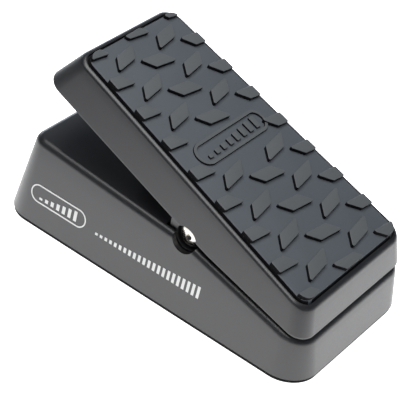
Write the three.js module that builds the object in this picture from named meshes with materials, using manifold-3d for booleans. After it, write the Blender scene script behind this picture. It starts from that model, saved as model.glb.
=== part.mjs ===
// A compact foot-operated volume pedal: a tapered die-cast chassis, a rocking treadle with a rubber
// tread, and a band drive that turns a potentiometer as the treadle tilts.
//
// Millimetres. X across (+X is the player's right), Y along (heel at -Y, toe at +Y), Z up. The origin
// is on the ground, midway between heel and toe. The treadle and all that rides on it are modelled in
// the treadle's own frame: origin on the pivot axis, Y along the treadle, Z normal to it.

import * as THREE from "three";
import { mergeVertices } from "three/addons/utils/BufferGeometryUtils.js";
import Module from "manifold-3d";

const wasm = await Module();
wasm.setup();

const degrees = THREE.MathUtils.degToRad;

// ---------------------------------------------------------------- driving dimensions

const GAP = 0.3; // between pieces that touch
const FAR = 90; // a cut that runs out past every face ends here

const LENGTH = 148; // chassis, heel to toe
const HEEL_HALF_WIDTH = 40.2;
const TOE_HALF_WIDTH = 35.2;
const CHASSIS_CORNER_R = 13; // at the foot of the wall
const CHASSIS_TOP_CORNER_R = 7.5; // the corners tighten to this over CORNER_SPAN of height
const CORNER_SPAN = 36;
const WALL = 2.5;
const SIDE_DRAFT = 0.106; // how far a wall leans in for each millimetre of height
const HEEL_DRAFT = 0.188;
const TOE_DRAFT = 0.222;

const BASE_Z = 2.0; // underside of the base plate, above the ground
const BASE_THICKNESS = 1.2;
const BASE_INSET = 0.9;
const CHASSIS_Z = BASE_Z + BASE_THICKNESS + GAP;

const PIVOT = { y: -12, z: 34.8 }; // the treadle's axis, level with the ridge of the chassis roof
const ROOF_HEEL_SLOPE = 0.245;
const ROOF_TOE_SLOPE = 0.071;

const REST_TILT = degrees(21.84); // treadle to ground, heel down

const RIM_Z = 20.6; // top of the treadle's form above the pivot axis, treadle frame
const RIM_DROP = 0.6; // the rim itself stands this much lower, so the tread's edge shows
const RIM_HEEL_Y = -51.5;
const RIM_TOE_Y = 76.5;
const RIM_HEEL_HALF_WIDTH = 35.9;
const RIM_TOE_HALF_WIDTH = 29.6;
const RIM_CORNER_R = 7.2;
const SKIRT_SIDE_FLARE = 0.0054; // share of the width gained for each millimetre below the rim
const SKIRT_HEEL_FLARE = 0.673;
const SKIRT_TOE_FLARE = 0.302;
const SKIRT_HEEL_EDGE = [-59.07, 9.35]; // ends of the skirt's lower edge: Y and Z, treadle frame
const SKIRT_KINK = [-9.91, 4.44];
const SKIRT_TOE_EDGE = [81.8, 2.95];

const PAD_INSET = 2.2;
const PAD_RECESS = 1.8;
const PAD_PROUD = 0.2;
const LUG_HEIGHT = 1.6;
const LUG_ROOT = 0.6; // how far a lug reaches down into the slab
const SKIRT_WALL = 2.6;
const TREADLE_PLATE = 2.5;
const CEILING_Z = RIM_Z - PAD_RECESS - TREADLE_PLATE; // underside of the treadle plate

const LUG_LONG_SIDE = [13.5, 1.5]; // a lug is a slanted parallelogram, sized here for the heel end
const LUG_SHORT_SIDE = [5.2, 5.8];
const LUG_PITCH = 15.2;
const BADGE = { halfLength: 22, radius: 5.2, y: 17.9, height: 0.9, clearance: 8 };

const CHASSIS_NOTCH_R = 5.4; // half-round screwdriver notch beside each pivot screw
const SKIRT_NOTCH_R = 6.6;

const EAR_X = [25, 31.8];
const EAR_R = 9;
const COUNTERBORE = { r: 5.6, x: 29.2 };
const SHAFT = { r: 5, halfLength: 24.7 };
const POST_X = [15, 22];
const POST_R = 9;
const BUSH = { bore: 5.1, r: 7, flangeR: 8.3, flange: 1.2 };
const SCREW_HEAD = { r: 5.2, height: 2.4 };
const SCREW_SHANK_R = 3;

const SECTOR = { r: 40, innerR: 30, halfThickness: 3, low: degrees(-46), high: degrees(27) };
const BAND = { thickness: 0.4, halfWidth: 2, low: degrees(-45.2), high: degrees(0.8) };
const BAND_SCREW_ANGLES = [degrees(-43.7), degrees(-1.2)];
const FOOT_PLATE = { halfWidth: 9, y: [25, 41], z: [10.7, 13.5], screwX: 6.2 };
const SCREW_HOLE_R = 1.5; // for the small screws of the sector and of the bracket
const HUB_R = 3.3;
const WRAP_R = HUB_R + GAP + BAND.thickness;
const PULLEY_ANGLE = degrees(-10); // where the pulley meets the sector, seen from the pivot
const PULLEY_DISTANCE = SECTOR.r + GAP + BAND.thickness + GAP + WRAP_R;
const PULLEY = {
  y: PIVOT.y + PULLEY_DISTANCE * Math.cos(PULLEY_ANGLE),
  z: PIVOT.z + PULLEY_DISTANCE * Math.sin(PULLEY_ANGLE),
};

const POT_R = 8;
const POT_X = [-20.8, -10.8];
const BRACKET_X = [-10.5, -9];
const BRACKET_SCREW = { x: -16, y: [13, 19.5], tip: 34.8 };
const BRACKET_FLANGE_Z = [31.3, 32.8];
const SECTOR_SLOT = [-5.5, 5.5, 16, 32, 25, FAR]; // in the roof, as the ends of a box in X, Y and Z

const PANEL = { y: 67.4, thickness: 3, halfWidth: 26, z: [14, 32], r: 3 }; // flat let into the toe wall
const JACK_X = [-15.5, 0, 15.5];
const JACK_Z = 23;
const JACK = {
  width: 13,
  height: 14,
  y: [46, 64.1],
  barrelR: 4.4,
  tip: 71,
  socketR: 3.4,
  bottom: 47.5,
};
const JACK_WASHER = { r: 6.6, thickness: 0.5 };
const JACK_NUT = { r: 6.8, thickness: 2 };

const BOARD = { halfWidth: 27, y: [46, 63.5], z: [14.1, 15.7] };
const SWITCH = { x: [17.5, 26.5], y: [50, 54.5], z: [10.3, 13.8] };
const SWITCH_SLOT = [19.5, 24.5, 51, 53.5, 0, 12.3];
const SWITCH_SLIDER = [19.9, 21.9, 51.3, 53.2, 8.6, 12];
const WIRE_R = 0.6;

const HEEL_SCREW = [32, -66];
const TOE_SCREW = [28.5, 65.5];
const BASE_SCREW_BOSS = { r: 4, top: 12, holeR: 1.8, holeTop: 10.8 };
const HEEL_FOOT = [27, -50];
const TOE_FOOT = [25, 49];
const FOOT_R = 6;

const BUMPERS = {
  heel: { x: 22, y: -43, r: 4.5, z: [7.3, 9.6] },
  toe: { x: 17, y: 62, r: 4.5, z: [1.4, 4] },
};

// ---------------------------------------------------------------- materials

function finish(color, roughness, metalness) {
  return () => new THREE.MeshStandardMaterial({ color, roughness, metalness });
}

const blackPaint = finish(0x3b3c3f, 0.45, 0.2);
const treadRubber = finish(0x30353a, 0.75, 0);
const darkRubber = finish(0x17181a, 0.85, 0);
const steel = finish(0xb4b6b8, 0.35, 1);
const chrome = finish(0xe6e6e2, 0.12, 1);
const blackPlastic = finish(0x141416, 0.5, 0);
const whitePlastic = finish(0xd8d8d0, 0.5, 0);
const boardGreen = finish(0x1f5a37, 0.5, 0);
const wireSleeve = finish(0x8c2320, 0.5, 0);

// ---------------------------------------------------------------- solids

function solid(geometry) {
  geometry.deleteAttribute("normal");
  geometry.deleteAttribute("uv");
  const welded = mergeVertices(geometry, 1e-4);
  return new wasm.Manifold(
    new wasm.Mesh({
      numProp: 3,
      vertProperties: new Float32Array(welded.attributes.position.array),
      triVerts: new Uint32Array(welded.index.array),
    }),
  );
}

function geometryOf(shape) {
  const mesh = shape.getMesh();
  const geometry = new THREE.BufferGeometry();
  geometry.setAttribute("position", new THREE.BufferAttribute(mesh.vertProperties, 3));
  geometry.setIndex(new THREE.BufferAttribute(mesh.triVerts, 1));
  return geometry;
}

function box(x0, x1, y0, y1, z0, z1) {
  const geometry = new THREE.BoxGeometry(x1 - x0, y1 - y0, z1 - z0);
  return solid(geometry.translate((x0 + x1) / 2, (y0 + y1) / 2, (z0 + z1) / 2));
}

function cylinderX(radius, x0, x1, y = 0, z = 0, segments = 28) {
  const geometry = new THREE.CylinderGeometry(radius, radius, x1 - x0, segments);
  geometry.rotateZ(Math.PI / 2);
  return solid(geometry.translate((x0 + x1) / 2, y, z));
}

function cylinderY(radius, y0, y1, x = 0, z = 0, segments = 24) {
  const geometry = new THREE.CylinderGeometry(radius, radius, y1 - y0, segments);
  return solid(geometry.translate(x, (y0 + y1) / 2, z));
}

function cylinderZ(radius, z0, z1, x = 0, y = 0, segments = 24) {
  const geometry = new THREE.CylinderGeometry(radius, radius, z1 - z0, segments);
  geometry.rotateX(Math.PI / 2);
  return solid(geometry.translate(x, y, (z0 + z1) / 2));
}

// A piece turned about the X axis, from [x, radius] corners that run towards +X along its outside.
function turnedX(profile, segments = 24) {
  const points = profile.map(([x, radius]) => new THREE.Vector2(radius, x));
  return solid(new THREE.LatheGeometry(points, segments).rotateZ(-Math.PI / 2));
}

// A piece turned about the Z axis, from [radius, z] corners that start and end on the axis.
function turnedZ(profile, segments = 24) {
  const points = profile.map(([radius, z]) => new THREE.Vector2(radius, z));
  return solid(new THREE.LatheGeometry(points, segments).rotateX(Math.PI / 2));
}

function reshape(geometry, change) {
  const position = geometry.attributes.position;
  for (let i = 0; i < position.count; i += 1) {
    position.setXYZ(i, ...change(position.getX(i), position.getY(i), position.getZ(i)));
  }
  return geometry;
}

function extruded(shape, depth, curveSegments = 4) {
  return new THREE.ExtrudeGeometry(shape, { depth, bevelEnabled: false, curveSegments });
}

// An outline drawn in the YZ plane, given thickness from x0 to x1.
function prismX(shape, x0, x1, curveSegments = 10) {
  return solid(reshape(extruded(shape, x1 - x0, curveSegments), (a, b, c) => [c + x0, a, b]));
}

// An outline drawn in the XZ plane, given thickness from y0 to y1.
function prismY(shape, y0, y1) {
  return solid(reshape(extruded(shape, y1 - y0), (a, b, c) => [a, y1 - c, b]));
}

function prismZ(shape, z0, z1) {
  return solid(extruded(shape, z1 - z0).translate(0, 0, z0));
}

function polygon(corners) {
  return new THREE.Shape(corners.map(([a, b]) => new THREE.Vector2(a, b)));
}

// A closed outline with every corner rounded alike; the corners run anticlockwise.
function roundedOutline(corners, radius) {
  const shape = new THREE.Shape();
  const points = corners.map(([a, b]) => new THREE.Vector2(a, b));
  points.forEach((corner, i) => {
    const before = points.at(i - 1).clone().sub(corner).normalize();
    const after = points[(i + 1) % points.length].clone().sub(corner).normalize();
    const halfAngle = Math.acos(before.dot(after)) / 2;
    const bisector = before.clone().add(after).normalize();
    const centre = corner.clone().addScaledVector(bisector, radius / Math.sin(halfAngle));
    const reach = radius / Math.tan(halfAngle);
    const start = corner.clone().addScaledVector(before, reach).sub(centre);
    const end = corner.clone().addScaledVector(after, reach).sub(centre);
    shape.absarc(centre.x, centre.y, radius, start.angle(), end.angle(), false);
  });
  return shape;
}

// A four-sided outline, symmetric about Y, narrower at the toe, drawn `inset` inside the full size.
function taperedOutline(heelHalf, toeHalf, y0, y1, inset, radius) {
  const lean = (heelHalf - toeHalf) / (y1 - y0);
  const heel = heelHalf - inset - lean * inset;
  const toe = toeHalf - inset + lean * inset;
  const corners = [
    [-heel, y0 + inset],
    [heel, y0 + inset],
    [toe, y1 - inset],
    [-toe, y1 - inset],
  ];
  return roundedOutline(corners, radius - inset);
}

// A block that takes in every piece on one side of the line through (y0, z0) and (y1, z1), y0 < y1.
function halfSpace(side, [y0, z0], [y1, z1]) {
  const depth = 100;
  const geometry = new THREE.BoxGeometry(200, 400, depth);
  geometry.translate(0, 0, (depth / 2) * side);
  geometry.rotateX(Math.atan2(z1 - z0, y1 - y0));
  return solid(geometry.translate(0, y0, z0));
}

function aboveLine(from, to) {
  return halfSpace(1, from, to);
}

function belowLine(from, to) {
  return halfSpace(-1, from, to);
}

function mirrored(shape) {
  return shape.mirror([1, 0, 0]);
}

function bothSides(shape) {
  return shape.add(mirrored(shape));
}

// ---------------------------------------------------------------- groups

const pedal = new THREE.Group();
const treadleFrame = new THREE.Group();
treadleFrame.position.set(0, PIVOT.y, PIVOT.z);
treadleFrame.rotation.x = REST_TILT;
pedal.add(treadleFrame);
const pulleyFrame = new THREE.Group();
pulleyFrame.position.set(0, PULLEY.y, PULLEY.z);
pedal.add(pulleyFrame);

function add(parent, name, shape, material) {
  const mesh = new THREE.Mesh(geometryOf(shape), material());
  mesh.name = name;
  parent.add(mesh);
}

// ---------------------------------------------------------------- chassis

function chassisOutline(inset, radius) {
  return taperedOutline(HEEL_HALF_WIDTH, TOE_HALF_WIDTH, -LENGTH / 2, LENGTH / 2, inset, radius);
}

// The drafted, sloping-roofed form of the chassis, drawn inside the outer faces by wall and roof.
function chassisForm(wall, roof, z0) {
  const curveSegments = 4;
  const tallest = 45;
  const footOutline = chassisOutline(wall, CHASSIS_CORNER_R);
  const foot = footOutline.getPoints(curveSegments);
  const top = chassisOutline(wall, CHASSIS_TOP_CORNER_R).getPoints(curveSegments);
  const form = reshape(extruded(footOutline, tallest, curveSegments), (x0, y0, z) => {
    const height = z + z0 - CHASSIS_Z;
    const tightened = foot.findIndex((point) => Math.hypot(point.x - x0, point.y - y0) < 1e-4);
    const { x, y } = foot[tightened].clone().lerp(top[tightened], height / CORNER_SPAN);
    const along = y / LENGTH + 0.5;
    const lean = HEEL_DRAFT - (HEEL_DRAFT + TOE_DRAFT) * along;
    return [x * (1 - (SIDE_DRAFT * height) / HEEL_HALF_WIDTH), y + lean * height, z + z0];
  });
  const ridge = [PIVOT.y, PIVOT.z - roof];
  return solid(form)
    .subtract(aboveLine([PIVOT.y - 1, ridge[1] - ROOF_HEEL_SLOPE], ridge))
    .subtract(aboveLine(ridge, [PIVOT.y + 1, ridge[1] + ROOF_TOE_SLOPE]));
}

function panelOutline(halfWidth, z0, z1, radius) {
  const corners = [
    [-halfWidth, z0],
    [halfWidth, z0],
    [halfWidth, z1],
    [-halfWidth, z1],
  ];
  return roundedOutline(corners, radius);
}

// Adds the flat in the toe wall, with its thick backing and the holes for the jacks.
function withJackPanel(body, outer) {
  const { y, thickness, halfWidth, z, r } = PANEL;
  const behind = [-halfWidth - WALL, halfWidth + WALL, y - thickness, FAR, z[0] - WALL, z[1] + WALL];
  let panelled = body.add(outer.intersect(box(...behind)));
  panelled = panelled.subtract(prismY(panelOutline(halfWidth, z[0], z[1], r), y, FAR));
  for (const x of JACK_X) {
    const hole = cylinderY(JACK.barrelR + GAP, y - thickness - 1, FAR, x, JACK_Z);
    panelled = panelled.subtract(hole);
  }
  return panelled;
}

// Adds the four pillars that the base screws bite into, and the two under the roof for the bracket.
function withScrewBosses(body, outer) {
  const { r, top, holeR, holeTop } = BASE_SCREW_BOSS;
  let bossed = body;
  for (const screw of [HEEL_SCREW, TOE_SCREW]) {
    const pillar = cylinderZ(r, CHASSIS_Z, top, ...screw).intersect(outer);
    bossed = bossed.add(bothSides(pillar));
    bossed = bossed.subtract(bothSides(cylinderZ(holeR, 0, holeTop, ...screw, 16)));
  }
  for (const y of BRACKET_SCREW.y) {
    const flangeTop = BRACKET_FLANGE_Z[1];
    const pillar = cylinderZ(3.2, flangeTop + GAP, FAR, BRACKET_SCREW.x, y).intersect(outer);
    const hole = cylinderZ(SCREW_HOLE_R, flangeTop, BRACKET_SCREW.tip + 0.8, BRACKET_SCREW.x, y, 16);
    bossed = bossed.add(pillar).subtract(hole);
  }
  return bossed;
}

// Opens the roof for the shaft, for the drive sector and for the two ears of the treadle.
function withRoofOpenings(body) {
  const { y, z } = PIVOT;
  const tunnel = cylinderX(SHAFT.r + 1.5, -EAR_X[0], EAR_X[0], y, z);
  const flangeRoom = cylinderX(BUSH.flangeR + 1, POST_X[1], EAR_X[0], y, z);
  const earRoom = box(EAR_X[0] - 0.6, EAR_X[1] + 0.6, y - EAR_R - 1.5, y + EAR_R + 1.5, 22, FAR);
  return body
    .subtract(tunnel)
    .subtract(bothSides(flangeRoom))
    .subtract(bothSides(earRoom))
    .subtract(box(...SECTOR_SLOT));
}

function chassis() {
  const { y, z } = PIVOT;
  const outer = chassisForm(0, 0, CHASSIS_Z);
  const hollow = chassisForm(WALL, WALL, CHASSIS_Z - 1);
  const shell = withScrewBosses(withJackPanel(outer.subtract(hollow), outer), outer);
  const post = cylinderX(POST_R, ...POST_X, y, z);
  const bore = cylinderX(BUSH.r + GAP, POST_X[0] - 1, POST_X[1] + 1, y, z);
  const notch = cylinderX(CHASSIS_NOTCH_R, 31, 42, y, z);
  return withRoofOpenings(shell)
    .add(bothSides(post))
    .subtract(bothSides(bore))
    .subtract(bothSides(notch));
}

add(pedal, "chassis", chassis(), blackPaint);

// ---------------------------------------------------------------- base plate, its screws, the feet

function corners() {
  return [
    ["heel_left", [-HEEL_SCREW[0], HEEL_SCREW[1]], [-HEEL_FOOT[0], HEEL_FOOT[1]]],
    ["heel_right", HEEL_SCREW, HEEL_FOOT],
    ["toe_left", [-TOE_SCREW[0], TOE_SCREW[1]], [-TOE_FOOT[0], TOE_FOOT[1]]],
    ["toe_right", TOE_SCREW, TOE_FOOT],
  ];
}

function basePlate() {
  const outline = chassisOutline(BASE_INSET, CHASSIS_CORNER_R);
  let plate = prismZ(outline, BASE_Z, BASE_Z + BASE_THICKNESS);
  for (const [, screw] of corners()) {
    plate = plate.subtract(cylinderZ(1.9, 0, 5, ...screw, 16));
  }
  return plate;
}

function baseScrew(x, y) {
  const headZ = BASE_Z - GAP;
  const profile = [
    [0, 0.9],
    [1.2, 0.9],
    [1.2, 0.5],
    [2.3, 0.6],
    [3, 1.1],
    [3, headZ],
    [1.5, headZ],
    [1.5, 9.5],
    [0, 10.3],
  ];
  return turnedZ(profile, 16).translate([x, y, 0]);
}

function foot(x, y) {
  const top = BASE_Z - GAP;
  const profile = [
    [0, 0],
    [FOOT_R - 0.6, 0],
    [FOOT_R, 0.5],
    [FOOT_R, top],
    [0, top],
  ];
  return turnedZ(profile).translate([x, y, 0]);
}

add(pedal, "base_plate", basePlate(), blackPaint);
for (const [corner, screwAt, footAt] of corners()) {
  add(pedal, `base_screw_${corner}`, baseScrew(...screwAt), steel);
  add(pedal, `foot_${corner}`, foot(...footAt), darkRubber);
}

// ---------------------------------------------------------------- treadle

// The treadle's form between two heights: its outline widens downwards from the rim.
function treadleForm(inset, z0, z1) {
  const outline = taperedOutline(
    RIM_HEEL_HALF_WIDTH,
    RIM_TOE_HALF_WIDTH,
    RIM_HEEL_Y,
    RIM_TOE_Y,
    inset,
    RIM_CORNER_R,
  );
  const form = reshape(extruded(outline, z1 - z0), (x, y, z) => {
    const depth = RIM_Z - (z + z0);
    const along = (y - RIM_HEEL_Y) / (RIM_TOE_Y - RIM_HEEL_Y);
    const lean = -SKIRT_HEEL_FLARE + (SKIRT_HEEL_FLARE + SKIRT_TOE_FLARE) * along;
    return [x * (1 + SKIRT_SIDE_FLARE * depth), y + lean * depth, z + z0];
  });
  return solid(form);
}

// A cast ear: a disc about the pivot, carried up to the treadle plate by a web.
function ear() {
  const web = [
    [-EAR_R, 0],
    [EAR_R * Math.cos(REST_TILT), -EAR_R * Math.sin(REST_TILT)],
    [16, CEILING_Z + 0.5],
    [-EAR_R, CEILING_Z + 0.5],
  ];
  const plate = cylinderX(EAR_R, ...EAR_X).add(prismX(polygon(web), ...EAR_X));
  return plate
    .subtract(cylinderX(COUNTERBORE.r, COUNTERBORE.x, FAR))
    .subtract(cylinderX(SCREW_SHANK_R + GAP, 20, FAR, 0, 0, 24));
}

function treadle() {
  const lowest = -6;
  const recessZ = RIM_Z - PAD_RECESS;
  let body = treadleForm(0, lowest, RIM_Z - RIM_DROP)
    .subtract(treadleForm(SKIRT_WALL, lowest - 1, CEILING_Z))
    .subtract(belowLine(SKIRT_HEEL_EDGE, SKIRT_KINK))
    .subtract(belowLine(SKIRT_KINK, SKIRT_TOE_EDGE))
    .subtract(treadleForm(PAD_INSET, recessZ, RIM_Z + 5))
    .subtract(bothSides(cylinderX(SKIRT_NOTCH_R, EAR_X[1] + 0.4, 45)))
    .add(bothSides(ear()));
  for (const { x, y, r, z } of Object.values(BUMPERS)) {
    body = body.add(bothSides(cylinderZ(r - 0.5, z[1] + GAP, CEILING_Z + 0.5, x, y)));
  }
  const { halfWidth, y, z, screwX } = FOOT_PLATE;
  const seat = box(-halfWidth, halfWidth, y[0], y[1], z[1] + GAP, CEILING_Z + 0.5);
  const hole = cylinderZ(SCREW_HOLE_R, 5, CEILING_Z + 1, screwX, (y[0] + y[1]) / 2, 16);
  return body.add(seat).subtract(bothSides(hole));
}

// How much narrower the tread's pattern is at Y than at the heel end.
function narrowing(y) {
  const along = (y - RIM_HEEL_Y) / (RIM_TOE_Y - RIM_HEEL_Y);
  return 1 - (1 - RIM_TOE_HALF_WIDTH / RIM_HEEL_HALF_WIDTH) * along;
}

function lug(x, y, slant) {
  const [ax, ay] = LUG_LONG_SIDE;
  const [bx, by] = LUG_SHORT_SIDE;
  const signs = [
    [-1, -1],
    [1, -1],
    [1, 1],
    [-1, 1],
  ];
  const outline = signs.map(([s, t]) => {
    const cornerY = y + (slant * (s * ay + t * by)) / 2;
    return [(x + (s * ax + t * bx) / 2) * narrowing(cornerY), cornerY];
  });
  if (slant < 0) {
    outline.reverse();
  }
  return prismZ(polygon(outline), RIM_Z - LUG_ROOT, RIM_Z + PAD_PROUD + LUG_HEIGHT);
}

// The tread: a slab let into the treadle, with leaning lugs in columns whose slant alternates.
function treadPad() {
  const slabTop = RIM_Z + PAD_PROUD;
  const inset = PAD_INSET + GAP;
  const firstRow = RIM_TOE_Y - 10.5;
  let pattern = box(-FAR, FAR, -FAR, FAR, 0, slabTop);
  for (let column = -2; column <= 2; column += 1) {
    const odd = column % 2 !== 0;
    const start = odd ? firstRow : firstRow + 0.53 * LUG_PITCH;
    for (let y = start; y > RIM_HEEL_Y; y -= LUG_PITCH) {
      const underBadge = Math.abs(column) < 2 && Math.abs(y - BADGE.y) < BADGE.clearance;
      if (!underBadge) {
        pattern = pattern.add(lug(column * LUG_PITCH, y, odd ? 1 : -1));
      }
    }
  }
  const straight = BADGE.halfLength - BADGE.radius;
  const capsule = new THREE.Shape();
  capsule.absarc(straight, BADGE.y, BADGE.radius, -Math.PI / 2, Math.PI / 2, false);
  capsule.absarc(-straight, BADGE.y, BADGE.radius, Math.PI / 2, 1.5 * Math.PI, false);
  pattern = pattern.add(prismZ(capsule, RIM_Z - LUG_ROOT, slabTop + BADGE.height));
  return treadleForm(inset, RIM_Z - PAD_RECESS + GAP, RIM_Z + 6).intersect(pattern);
}

add(treadleFrame, "treadle", treadle(), blackPaint);
add(treadleFrame, "tread_pad", treadPad(), treadRubber);

function bumper({ x, y, r, z }) {
  const profile = [
    [0, z[0]],
    [r - 1, z[0]],
    [r, z[0] + 1],
    [r, z[1]],
    [0, z[1]],
  ];
  return turnedZ(profile).translate([x, y, 0]);
}

for (const [end, place] of Object.entries(BUMPERS)) {
  add(treadleFrame, `bumper_${end}_left`, mirrored(bumper(place)), darkRubber);
  add(treadleFrame, `bumper_${end}_right`, bumper(place), darkRubber);
}

// ---------------------------------------------------------------- pivot

function pivotShaft() {
  const hole = cylinderX(SCREW_SHANK_R + GAP, 13, FAR, 0, 0, 24);
  return cylinderX(SHAFT.r, -SHAFT.halfLength, SHAFT.halfLength).subtract(bothSides(hole));
}

// A domed screw with a hexagon socket, its shank reaching inwards into the shaft.
function pivotScrew() {
  const seat = COUNTERBORE.x + GAP;
  const tip = seat - 14;
  const profile = [
    [tip, 0],
    [tip, SCREW_SHANK_R - 0.5],
    [tip + 0.5, SCREW_SHANK_R],
    [seat, SCREW_SHANK_R],
    [seat, SCREW_HEAD.r],
  ];
  const steps = 6;
  for (let i = 1; i <= steps; i += 1) {
    const angle = (i / steps) * (Math.PI / 2);
    profile.push([seat + SCREW_HEAD.height * Math.sin(angle), SCREW_HEAD.r * Math.cos(angle)]);
  }
  const socket = cylinderX(1.8, seat + SCREW_HEAD.height - 1.5, FAR, 0, 0, 6);
  return turnedX(profile).subtract(socket);
}

function pivotBush() {
  const [inner, outer] = POST_X;
  const rim = outer + GAP;
  return turnedX([
    [inner, BUSH.bore],
    [inner, BUSH.r],
    [rim, BUSH.r],
    [rim, BUSH.flangeR],
    [rim + BUSH.flange, BUSH.flangeR],
    [rim + BUSH.flange, BUSH.bore],
    [inner, BUSH.bore],
  ]);
}

add(treadleFrame, "pivot_shaft", pivotShaft(), steel);
add(treadleFrame, "pivot_screw_right", pivotScrew(), chrome);
add(treadleFrame, "pivot_screw_left", mirrored(pivotScrew()), chrome);
const bushAt = [0, PIVOT.y, PIVOT.z];
add(pedal, "pivot_bush_right", pivotBush().translate(bushAt), whitePlastic);
add(pedal, "pivot_bush_left", mirrored(pivotBush()).translate(bushAt), whitePlastic);

// ---------------------------------------------------------------- drive sector and band

function arcStrip(r0, r1, low, high, halfWidth) {
  const shape = new THREE.Shape();
  shape.absarc(0, 0, r1, low, high, false);
  shape.absarc(0, 0, r0, high, low, true);
  return prismX(shape, -halfWidth, halfWidth);
}

// A cylinder that points outwards from the pivot axis at an angle in the YZ plane.
function radialPin(radius, r0, r1, angle, segments = 16) {
  return cylinderY(radius, r0, r1, 0, 0, segments).rotate([THREE.MathUtils.radToDeg(angle), 0, 0]);
}

function driveSector() {
  const { halfWidth, y, z, screwX } = FOOT_PLATE;
  const hole = cylinderZ(SCREW_HOLE_R, 0, 30, screwX, (y[0] + y[1]) / 2, 16);
  let sector = arcStrip(SECTOR.innerR, SECTOR.r, SECTOR.low, SECTOR.high, SECTOR.halfThickness)
    .subtract(box(-FAR, FAR, -FAR, FAR, z[1], FAR))
    .add(box(-halfWidth, halfWidth, y[0], y[1], z[0], z[1]))
    .subtract(bothSides(hole));
  for (const angle of BAND_SCREW_ANGLES) {
    sector = sector.subtract(radialPin(1, SECTOR.r - 4, FAR, angle));
  }
  return sector;
}

function driveBand() {
  const inner = SECTOR.r + GAP;
  let band = arcStrip(inner, inner + BAND.thickness, BAND.low, BAND.high, BAND.halfWidth);
  for (const angle of BAND_SCREW_ANGLES) {
    band = band.subtract(radialPin(1, SECTOR.innerR, FAR, angle));
  }
  return band;
}

function bandScrew(angle) {
  const seat = SECTOR.r + 2 * GAP + BAND.thickness;
  return radialPin(0.7, SECTOR.r - 3.5, seat + 0.5, angle).add(radialPin(1.7, seat, seat + 1, angle));
}

function sectorScrew() {
  const { y, z, screwX } = FOOT_PLATE;
  const head = z[0] - GAP;
  const profile = [
    [0, head - 1.6],
    [2.2, head - 1.6],
    [2.2, head],
    [1.2, head],
    [1.2, CEILING_Z + 0.6],
    [0, CEILING_Z + 0.6],
  ];
  return turnedZ(profile, 16).translate([screwX, (y[0] + y[1]) / 2, 0]);
}

add(treadleFrame, "drive_sector", driveSector(), blackPlastic);
add(treadleFrame, "drive_band", driveBand(), steel);
add(treadleFrame, "sector_screw_left", mirrored(sectorScrew()), steel);
add(treadleFrame, "sector_screw_right", sectorScrew(), steel);
add(treadleFrame, "band_screw_low", bandScrew(BAND_SCREW_ANGLES[0]), steel);
add(treadleFrame, "band_screw_high", bandScrew(BAND_SCREW_ANGLES[1]), steel);

// ---------------------------------------------------------------- pulley, on the potentiometer's shaft

const POT_SHAFT_R = 2;
const SET_SCREW_X = 7;
const SET_SCREW_R = 1;

function pulley() {
  const bore = POT_SHAFT_R + GAP;
  const profile = [
    [-4.5, bore],
    [-4.5, 5.5],
    [-3.5, 5.5],
    [-3.5, HUB_R],
    [3.5, HUB_R],
    [3.5, 5.5],
    [4.5, 5.5],
    [4.5, 4.6],
    [9.5, 4.6],
    [9.5, bore],
    [-4.5, bore],
  ];
  return turnedX(profile).subtract(cylinderZ(SET_SCREW_R + GAP, 2, 8, SET_SCREW_X, 0, 16));
}

add(pulleyFrame, "pulley", pulley(), blackPlastic);
const setScrew = cylinderZ(SET_SCREW_R, 2.4, 4.4, SET_SCREW_X, 0, 16);
add(pulleyFrame, "pulley_set_screw", setScrew, steel);
add(pulleyFrame, "pot_shaft", cylinderX(POT_SHAFT_R, -12, 9.2, 0, 0, 24), steel);

function bandWrap() {
  const inner = HUB_R + GAP;
  return turnedX([
    [-BAND.halfWidth, inner],
    [-BAND.halfWidth, WRAP_R],
    [BAND.halfWidth, WRAP_R],
    [BAND.halfWidth, inner],
    [-BAND.halfWidth, inner],
  ]);
}

add(pulleyFrame, "band_wrap", bandWrap(), steel);

// ---------------------------------------------------------------- potentiometer and its bracket

const BUSHING_R = 3.6;
const LUG_OFFSETS = [-3.5, 0, 3.5];

function potBody() {
  const bore = POT_SHAFT_R + GAP;
  let body = turnedX([
    [POT_X[0], 0],
    [POT_X[0], POT_R - 0.8],
    [POT_X[0] + 0.8, POT_R],
    [POT_X[1], POT_R],
    [POT_X[1], BUSHING_R],
    [-5.3, BUSHING_R],
    [-5.3, bore],
    [-12.6, bore],
    [-12.6, 0],
  ]);
  for (const offset of LUG_OFFSETS) {
    body = body.add(box(-13.4, -12.6, offset - 0.9, offset + 0.9, -12.5, -5));
  }
  return body;
}

function potBracket() {
  const [x0, x1] = BRACKET_X;
  const [z0, z1] = BRACKET_FLANGE_Z;
  const plate = box(x0, x1, 10, PULLEY.y + 8, 18, z1);
  const flange = box(-21.5, x1, 10, 23, z0, z1);
  const hole = cylinderX(BUSHING_R + GAP, x0 - 1, x1 + 1, PULLEY.y, PULLEY.z, 24);
  let bracket = plate.add(flange).subtract(hole);
  for (const y of BRACKET_SCREW.y) {
    bracket = bracket.subtract(cylinderZ(SCREW_HOLE_R, z0 - 1, z1 + 1, BRACKET_SCREW.x, y, 16));
  }
  return bracket;
}

function bracketScrew(y) {
  const head = BRACKET_FLANGE_Z[0] - GAP;
  const profile = [
    [0, head - 1.7],
    [2.4, head - 1.7],
    [2.6, head],
    [1.2, head],
    [1.2, BRACKET_SCREW.tip],
    [0, BRACKET_SCREW.tip],
  ];
  return turnedZ(profile, 16).translate([BRACKET_SCREW.x, y, 0]);
}

function ringX(inner, outer, x0, x1, segments) {
  return cylinderX(outer, x0, x1, 0, 0, segments).subtract(cylinderX(inner, x0 - 1, x1 + 1, 0, 0, 24));
}

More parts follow.
